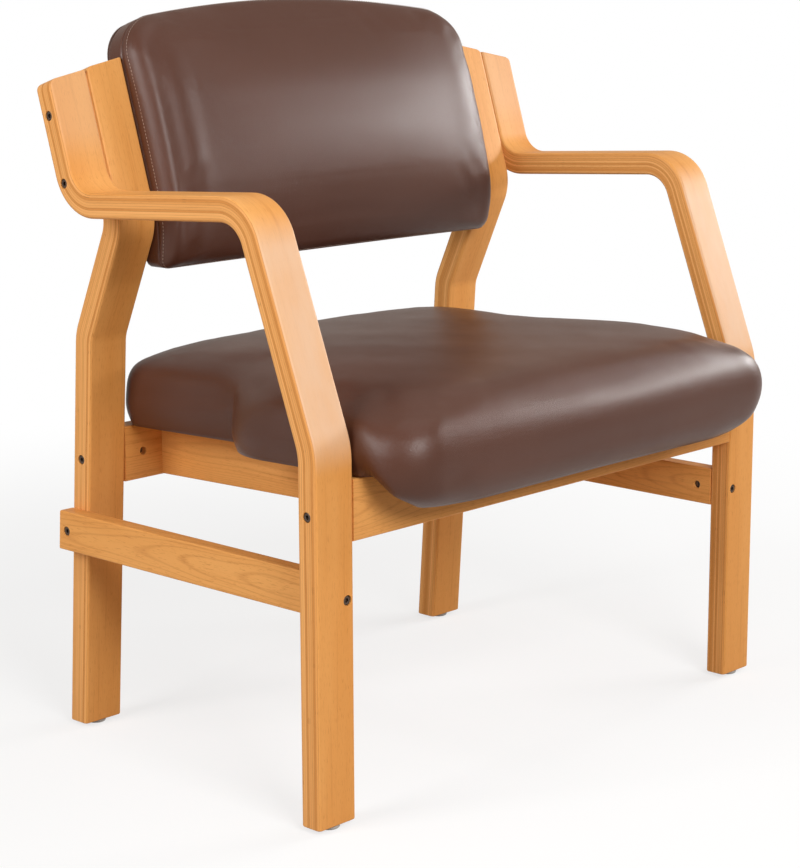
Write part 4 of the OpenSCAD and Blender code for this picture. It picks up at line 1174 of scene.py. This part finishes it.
def back_crown_ring(edge_ring, share):
    """Ring on the panel's face at a share of the edge ring's size."""
    spots = BACK_CENTRE + (edge_ring[:, :2] - BACK_CENTRE) * share
    return np.column_stack([spots, back_face(spots) + back_crown(spots, share)])


def side_folds(points):
    """Ridge, valley and second ridge that the tight cover draws beside each side seam."""
    v = points[:, 1] / BACK_LEN
    inner = BACK_HALF - abs(points[:, 0])
    held = smooth(0, 0.18, v) * smooth(0.92, 0.55, v) * (points[:, 2] > BACK_SEAM + MM)
    folds = sum(height * bump(inner, middle, width) for height, middle, width in SIDE_FOLDS)
    folds *= np.where(points[:, 0] < 0, 1, FAR_FOLD_SHARE)
    wave = WAVE_SIZE * np.sin(points[:, 0] * 19 + 2) * np.sin(points[:, 1] * 23 + 1)
    return (folds * held + wave * smooth(WAVE_START, WAVE_FULL, inner)) * (points[:, 2] > BACK_SEAM)


def make_back():
    """The padded back: hem, side band, seam and swelling front panel."""
    outline = back_outline()
    rear = -BACK_BOARD_T / 2 - COVER_T
    rings = [back_ring(outline, HEM_W, 0)]
    rings += [back_ring(outline, HEM_W * share, rear) for share in (1, 2 / 3, 1 / 3)]
    for turn in np.linspace(0, math.pi / 2, 4):
        rings.append(back_ring(outline, REAR_ROUND * (1 - math.sin(turn)),
                               rear + REAR_ROUND * (1 - math.cos(turn))))
    seam = seam_out(outline)
    low = rings[-1][:, 2]
    for share in np.linspace(0, 1, 8)[1:-1]:
        rings.append(back_ring(outline, 0, mix(low, seam - SEAM_HALF_W, share)))
    rings += [back_ring(outline, inset, seam + over) for inset, over in SEAM_GROOVE]
    panel = [back_round_ring(outline, turn) for turn in np.radians(np.linspace(9, 90, 24))]
    edge_ring = panel[-1]
    for share in np.concatenate([np.linspace(1, 0.75, 30)[1:], np.linspace(0.75, 0.03, 24)[1:]]):
        panel.append(back_crown_ring(edge_ring, share))
    rings += evened(panel, BACK_PANEL_RINGS, BACK_SOFTNESS)
    points, faces = ringed(rings, (*BACK_CENTRE, 0), (*BACK_CENTRE, rings[-1][:, 2].mean()))
    points[:, 2] += side_folds(points)
    held_out = BACK_SEAM + SEAM_HALF_W
    free = smooth(held_out, held_out + HELD_RUN, points[:, 2])
    places = settled("back_cloth", shell_place(points), faces, free, BACK_SETTLE)
    piece = new_piece("back_cushion", places, faces, FABRIC)
    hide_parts("back_cover", "back_foam")
    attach(piece, "root")


make_seat()
make_back()


# Repeated small pieces, set out by Geometry Nodes

INSERT_L = 15 * MM
NUT_REACH = 34 * MM
STRETCHER_NUT_REACH = 6 * MM
STITCH_PITCH = 4.2 * MM
STITCH_SIZE = (3.1 * MM, 0.75 * MM, 0.6 * MM)
STITCH_TURN = math.radians(17)
STITCH_OUT = 3.2 * MM
STITCH_PROUD = 0.15 * MM
STAPLE_PITCH = 26 * MM
STAPLE_SIZE = (9.5 * MM, 1.0 * MM, 0.6 * MM)
STAPLE_INSET = 15 * MM
STAPLE_SUNK = 0.1 * MM
HEAD_SIDES = 24
HEAD_RIM = 1.1 * MM
HEAD_FOOT = 0.3 * MM
HEAD_FOOT_IN = 0.2 * MM
SOCKET_EASE = 0.35 * MM


class Layout(Tree):
    """A Geometry Nodes tree with named sizes as inputs, run once on a mesh of places."""

    def __init__(self, name, **sizes):
        self.tree = bpy.data.node_groups.new(name, "GeometryNodeTree")
        for way in ("OUTPUT", "INPUT"):
            self.tree.interface.new_socket("Geometry", in_out=way, socket_type="NodeSocketGeometry")
        self.values = {}
        for label, value in sizes.items():
            socket = self.tree.interface.new_socket(
                label.replace("_", " ").capitalize(), in_out="INPUT", socket_type="NodeSocketFloat")
            self.values[socket.identifier] = value
        inputs = self.tree.nodes.new("NodeGroupInput").outputs[:len(sizes) + 1]
        self.places, *self.sizes = [Number(self, socket) for socket in inputs]

    def facing(self):
        """The way that each place faces."""
        return self.node("GeometryNodeInputNamedAttribute", {"Name": "facing"}, data_type="FLOAT_VECTOR")

    def finish(self, places, shape, turned, material):
        """Sets the shape out on the places, as real meshes with their material."""
        copies = self.node("GeometryNodeInstanceOnPoints", {
            "Points": places, "Instance": shape, "Rotation": turned})
        real = self.node("GeometryNodeRealizeInstances", {"Geometry": copies})
        dressed = self.node("GeometryNodeSetMaterial", {"Geometry": real, "Material": material})
        self.feed(self.tree.nodes.new("NodeGroupOutput").inputs["Geometry"], dressed)

    def run(self, name, points, facing, edges=()):
        """The finished piece, from places and the way that each one faces."""
        mesh = bpy.data.meshes.new(name)
        mesh.from_pydata([tuple(p) for p in points], list(edges), [])
        mesh.attributes.new("facing", "FLOAT_VECTOR", "POINT").data.foreach_set(
            "vector", np.array(facing, float).ravel())
        piece = add_object(name, mesh)
        modifier = piece.modifiers.new("layout", "NODES")
        modifier.node_group = self.tree
        for identifier, value in self.values.items():
            modifier[identifier] = value
        flatten_modifiers(piece)
        piece.data.shade_smooth()
        return piece


def edge_row(name, pitch, size, material, places, facing):
    """Small rounded pieces at an even pitch along a closed line, flat on the surface."""
    layout = Layout(name + "_layout", pitch=pitch, length=size[0], width=size[1], height=size[2])
    pitch, *size = layout.sizes
    line = layout.node("GeometryNodeMeshToCurve", {"Mesh": layout.places})
    stations = layout.node("GeometryNodeResampleCurve", {"Curve": line, "Length": pitch}, mode="LENGTH")
    ball = layout.node("GeometryNodeMeshUVSphere", {"Segments": 8, "Rings": 5, "Radius": 0.5})
    stitch = layout.node("GeometryNodeTransform", {"Geometry": ball, "Scale": layout.vector(*size)})
    tangent = layout.node("GeometryNodeInputTangent")
    lying = layout.node("FunctionNodeAlignRotationToVector", {"Vector": tangent}, axis="X")
    turned = layout.node("FunctionNodeAlignRotationToVector", {
        "Rotation": lying, "Vector": layout.facing()}, axis="Z", pivot_axis="X")
    layout.finish(stations, stitch, turned, material)
    edges = [(i, (i + 1) % len(places)) for i in range(len(places))]
    return layout.run(name, places, facing, edges)


def bolt_layout(name, shank_l, head):
    """Bolts with their heads' tops at the places, facing out of the wood."""
    layout = Layout(name, shank_radius=BOLT_SHANK_R, shank_length=shank_l, head_height=BOLT_HEAD_H)
    radius, length, head_h = layout.sizes
    top = layout.node("GeometryNodeObjectInfo", {"Object": head}, "Geometry")
    shank = layout.node("GeometryNodeMeshCylinder", {"Vertices": 16, "Radius": radius, "Depth": length})
    moved = layout.node("GeometryNodeTransform", {
        "Geometry": shank, "Translation": layout.vector(0, 0, length * -0.5 - head_h)})
    both = layout.node("GeometryNodeJoinGeometry", {"Geometry": top})
    layout.feed(both.socket.node.inputs["Geometry"], moved)
    turned = layout.node("FunctionNodeAlignRotationToVector", {"Vector": layout.facing()}, axis="Z")
    layout.finish(layout.places, both, turned, BRONZE)
    return layout


def bolt_head():
    """Turned head with a rounded rim and a hexagon socket, its top at the origin."""
    a = np.arange(HEAD_SIDES) * TAU / HEAD_SIDES
    circle = np.column_stack([np.cos(a), np.sin(a)])
    sixth = math.pi / 6
    reach = math.cos(sixth) / np.cos((a + sixth) % (2 * sixth) - sixth)
    hexagon = circle * reach[:, None]
    rings = [(circle, BOLT_HEAD_R - HEAD_FOOT_IN, -BOLT_HEAD_H),
             (circle, BOLT_HEAD_R, -BOLT_HEAD_H + HEAD_FOOT)]
    rings += [(circle, BOLT_HEAD_R - HEAD_RIM + HEAD_RIM * math.cos(t), -HEAD_RIM + HEAD_RIM * math.sin(t))
              for t in np.radians((0, 30, 60, 90))]
    rings += [(hexagon, SOCKET_R + SOCKET_EASE, 0), (hexagon, SOCKET_R, -SOCKET_EASE),
              (hexagon, SOCKET_R, -0.55 * BOLT_HEAD_H)]
    points = [(*(shape[i] * r), z) for shape, r, z in rings for i in range(HEAD_SIDES)]
    points += [(0, 0, -BOLT_HEAD_H), (0, 0, -0.62 * BOLT_HEAD_H)]
    faces = band_faces(HEAD_SIDES, len(rings))
    top = (len(rings) - 1) * HEAD_SIDES
    for i in range(HEAD_SIDES):
        j = (i + 1) % HEAD_SIDES
        faces.append((j, i, len(points) - 2))
        faces.append((top + i, top + j, len(points) - 1))
    return new_piece("bolt_head_shape", points, faces, BRONZE)


# How far each bolt reaches into the wood, its sunk head included
BOLT_REACHES = {
    "back_bolts": 2 * STRIP_W + INSERT_L,
    "front_rail_bolts": STRIP_W + NUT_REACH,
    "rear_rail_bolts": STRIP_W + NUT_REACH,
    "stretcher_front_bolts": ARM_T + STRETCHER_T + STRETCHER_NUT_REACH,
    "stretcher_rear_bolts": STRETCHER_T + INSERT_L,
}


def make_bolts():
    """Each node's bolts, heads just under the wood's face."""
    head = bolt_head()
    for node, places in BOLTS.items():
        points, facing = [], []
        for side in (-1, 1):
            for spot, way in (on_side(side, *bolt) for bolt in places):
                points.append(Vector(spot) + Vector(way) * BOLT_SUNK)
                facing.append(-Vector(way))
        shank_l = BOLT_REACHES[node] - BOLT_HEAD_H - BOLT_SUNK
        layout = bolt_layout(node + "_layout", shank_l, head)
        piece = layout.run(node.replace("bolts", "socket_bolts"), points, facing)
        piece.data.set_sharp_from_angle(angle=HEAD_CRISP_ANGLE)
        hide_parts(node)
        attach(piece, "root")
    bpy.data.objects.remove(head)


def make_stitches():
    """Topstitching on the back's front panel, just inside its seam."""
    outline = back_outline()
    line = back_round_ring(outline, STITCH_TURN)
    line[:, 2] = np.maximum(line[:, 2], seam_out(outline) + STITCH_OUT)
    way = shell_place(line + np.array([0, 0, MM])) - shell_place(line)
    outward = np.column_stack([outline - BACK_CENTRE, np.zeros(len(outline))])
    outward /= np.linalg.norm(outward, axis=1)[:, None]
    side = shell_place(line + outward * MM) - shell_place(line)
    facing = side / MM + 0.35 * way / MM
    places = shell_place(line) + STITCH_PROUD * facing
    piece = edge_row("back_stitching", STITCH_PITCH, STITCH_SIZE, THREAD, places, facing)
    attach(piece, "root")


def make_staples():
    """Wire staples that hold the seat cover's hem to its board."""
    places = seat_place(hem_ring(closed(seat_outline(0)), STAPLE_INSET, -STAPLE_SUNK))
    facing = np.tile((0, 0, -1.0), (len(places), 1))
    piece = edge_row("hem_staples", STAPLE_PITCH, STAPLE_SIZE, STAPLE, places, facing)
    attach(piece, "root")


make_bolts()
make_stitches()
make_staples()


# Materials of the parts that keep the frame's own shape

NODE_MATERIALS = {
    "front_rail": CROSS_BEECH,
    "rear_rail": CROSS_BEECH,
    "side_rail_left": SIDE_BEECH,
    "side_rail_right": SIDE_BEECH,
    "side_stretcher_left": STRETCHER_BEECH,
    "side_stretcher_right": STRETCHER_BEECH,
    "seat_board": PLYWOOD,
    "back_board": PLYWOOD,
    "back_panel": PANEL_FABRIC,
    "seat_foam": FOAM,
    "back_foam": FOAM,
    "foot_glides": GLIDE,
    "glide_nails": ZINC,
    "seat_screws": ZINC,
    "back_inserts": ZINC,
    "stretcher_inserts": ZINC,
    "front_rail_dowels": DOWEL_BEECH,
    "rear_rail_dowels": DOWEL_BEECH,
    "side_rail_dowels": DOWEL_BEECH,
}


def finish_nodes():
    """Gives the frame's own parts their materials, those under a dressed piece too."""
    for name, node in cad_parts.items():
        finish = NODE_MATERIALS.get(name)
        if finish is None:
            finish = LEG_LAMINATE if name.startswith(("arm_frame", "rear_leg")) else BRONZE
            if "cover" in name:
                finish = FABRIC
        for holder in node.material_slots:
            holder.material = finish


finish_nodes()


# Camera, light and floor

PHOTO_H = 868
FOCAL_PX = 2252.44
CAMERA_PLACE = (-2.00056, FRONT_Y - 1.62238, 0.90638 + GLIDE_H)
CAMERA_YAW = math.radians(46.82)
CAMERA_PITCH = math.radians(11.67)
CAMERA_ROLL = math.radians(-0.24)
WARM = (1.0, 0.86, 0.70)
WORLD_LIGHT = 0.12
GLOSSY_SHARE = 0.50
FLOOR_PALE = (0.93, 0.93, 0.93)
FLOOR_BOUNCE = 0.48
FLOOR_GLOW = 0.72
FLOOR_REACH = 30
AIM = Vector((0, 0, 0.45))


def make_camera():
    """The camera that took the photo, found from the edges in it."""
    data = bpy.data.cameras.new("photo_camera")
    data.sensor_fit = "VERTICAL"
    data.sensor_height = 24
    data.lens = FOCAL_PX / PHOTO_H * data.sensor_height
    data.clip_end = 100
    camera = add_object("photo_camera", data)
    level = Vector((math.sin(CAMERA_YAW), math.cos(CAMERA_YAW), 0))
    right = Vector((math.cos(CAMERA_YAW), -math.sin(CAMERA_YAW), 0))
    upright = Vector((0, 0, 1))
    ahead = level * math.cos(CAMERA_PITCH) - upright * math.sin(CAMERA_PITCH)
    above = upright * math.cos(CAMERA_PITCH) + level * math.sin(CAMERA_PITCH)
    turned_right = right * math.cos(CAMERA_ROLL) + above * math.sin(CAMERA_ROLL)
    turned_up = above * math.cos(CAMERA_ROLL) - right * math.sin(CAMERA_ROLL)
    axes = Matrix((turned_right, turned_up, -ahead)).transposed().to_4x4()
    camera.matrix_world = Matrix.Translation(CAMERA_PLACE) @ axes
    bpy.context.scene.camera = camera


def seen_directly(shader):
    """1 for rays that show the background, from the camera or through glass, and a share of 1 for rays off
    gloss.
    """
    rays = shader.node("ShaderNodeLightPath").socket.node.outputs
    camera, glossy, through = [Number(shader, rays[name])
                               for name in ("Is Camera Ray", "Is Glossy Ray", "Is Transmission Ray")]
    return camera.larger((glossy * GLOSSY_SHARE).larger(through))


def make_floor():
    """White to the camera away from the object, and a plain floor that takes its shadow near it."""
    corners = [(x * FLOOR_REACH, y * FLOOR_REACH, 0) for x, y in ((-1, -1), (1, -1), (1, 1), (-1, 1))]
    piece = new_piece("studio_floor", corners, [(0, 1, 2, 3)])
    shader = Shader("pale_floor")
    x, y, _ = shader.place()
    away = (x * x + y * y) ** 0.5
    seen = seen_directly(shader)
    pale = shader.blend(seen, tinted(WARM, FLOOR_BOUNCE), FLOOR_PALE)
    matt = shader.node("ShaderNodeBsdfPrincipled", {
        "Base Color": pale, "Roughness": 1, "Specular IOR Level": 0})
    white = shader.node("ShaderNodeEmission", {"Color": (1, 1, 1), "Strength": 1.0})
    share = (FLOOR_GLOW + (1 - FLOOR_GLOW) * away.eased(0.7, 2.0)) * seen
    shader.show(shader.node("ShaderNodeMixShader", {0: share, 1: matt, 2: white}))
    piece.data.materials.append(shader.material)


def make_world():
    """White to the camera, and an even light to everything else."""
    world = bpy.data.worlds.new("studio")
    bpy.context.scene.world = world
    shader = Shader("studio", world)
    seen = seen_directly(shader)
    strength = WORLD_LIGHT + (1 - WORLD_LIGHT) * seen
    colour = shader.blend(seen, WARM, (1, 1, 1))
    shader.show(shader.node("ShaderNodeBackground", {"Color": colour, "Strength": strength}))


def softbox(name, azimuth, elevation, distance, size, power):
    """A lamp round the object: azimuth from the front towards the object's right side."""
    a, e = math.radians(azimuth), math.radians(elevation)
    way = Vector((math.cos(e) * math.sin(a), -math.cos(e) * math.cos(a), math.sin(e)))
    data = bpy.data.lights.new(name, "AREA")
    data.shape = "RECTANGLE"
    data.size, data.size_y = size
    data.energy = power
    lamp = add_object(name, data)
    lamp.matrix_world = (Matrix.Translation(AIM + way * distance)
                         @ way.to_track_quat("Z", "Y").to_matrix().to_4x4())


make_camera()
make_world()
make_floor()
softbox("key_box", 74, 18, 2.8, (1.7, 0.42), 46)
softbox("front_box", -22, 28, 3.2, (1.4, 1.3), 68)
softbox("left_box", -98, 24, 3.0, (1.2, 1.4), 45)
softbox("overhead_box", 20, 82, 2.5, (1.8, 1.8), 9)
bpy.context.scene.view_settings.view_transform = "Standard"
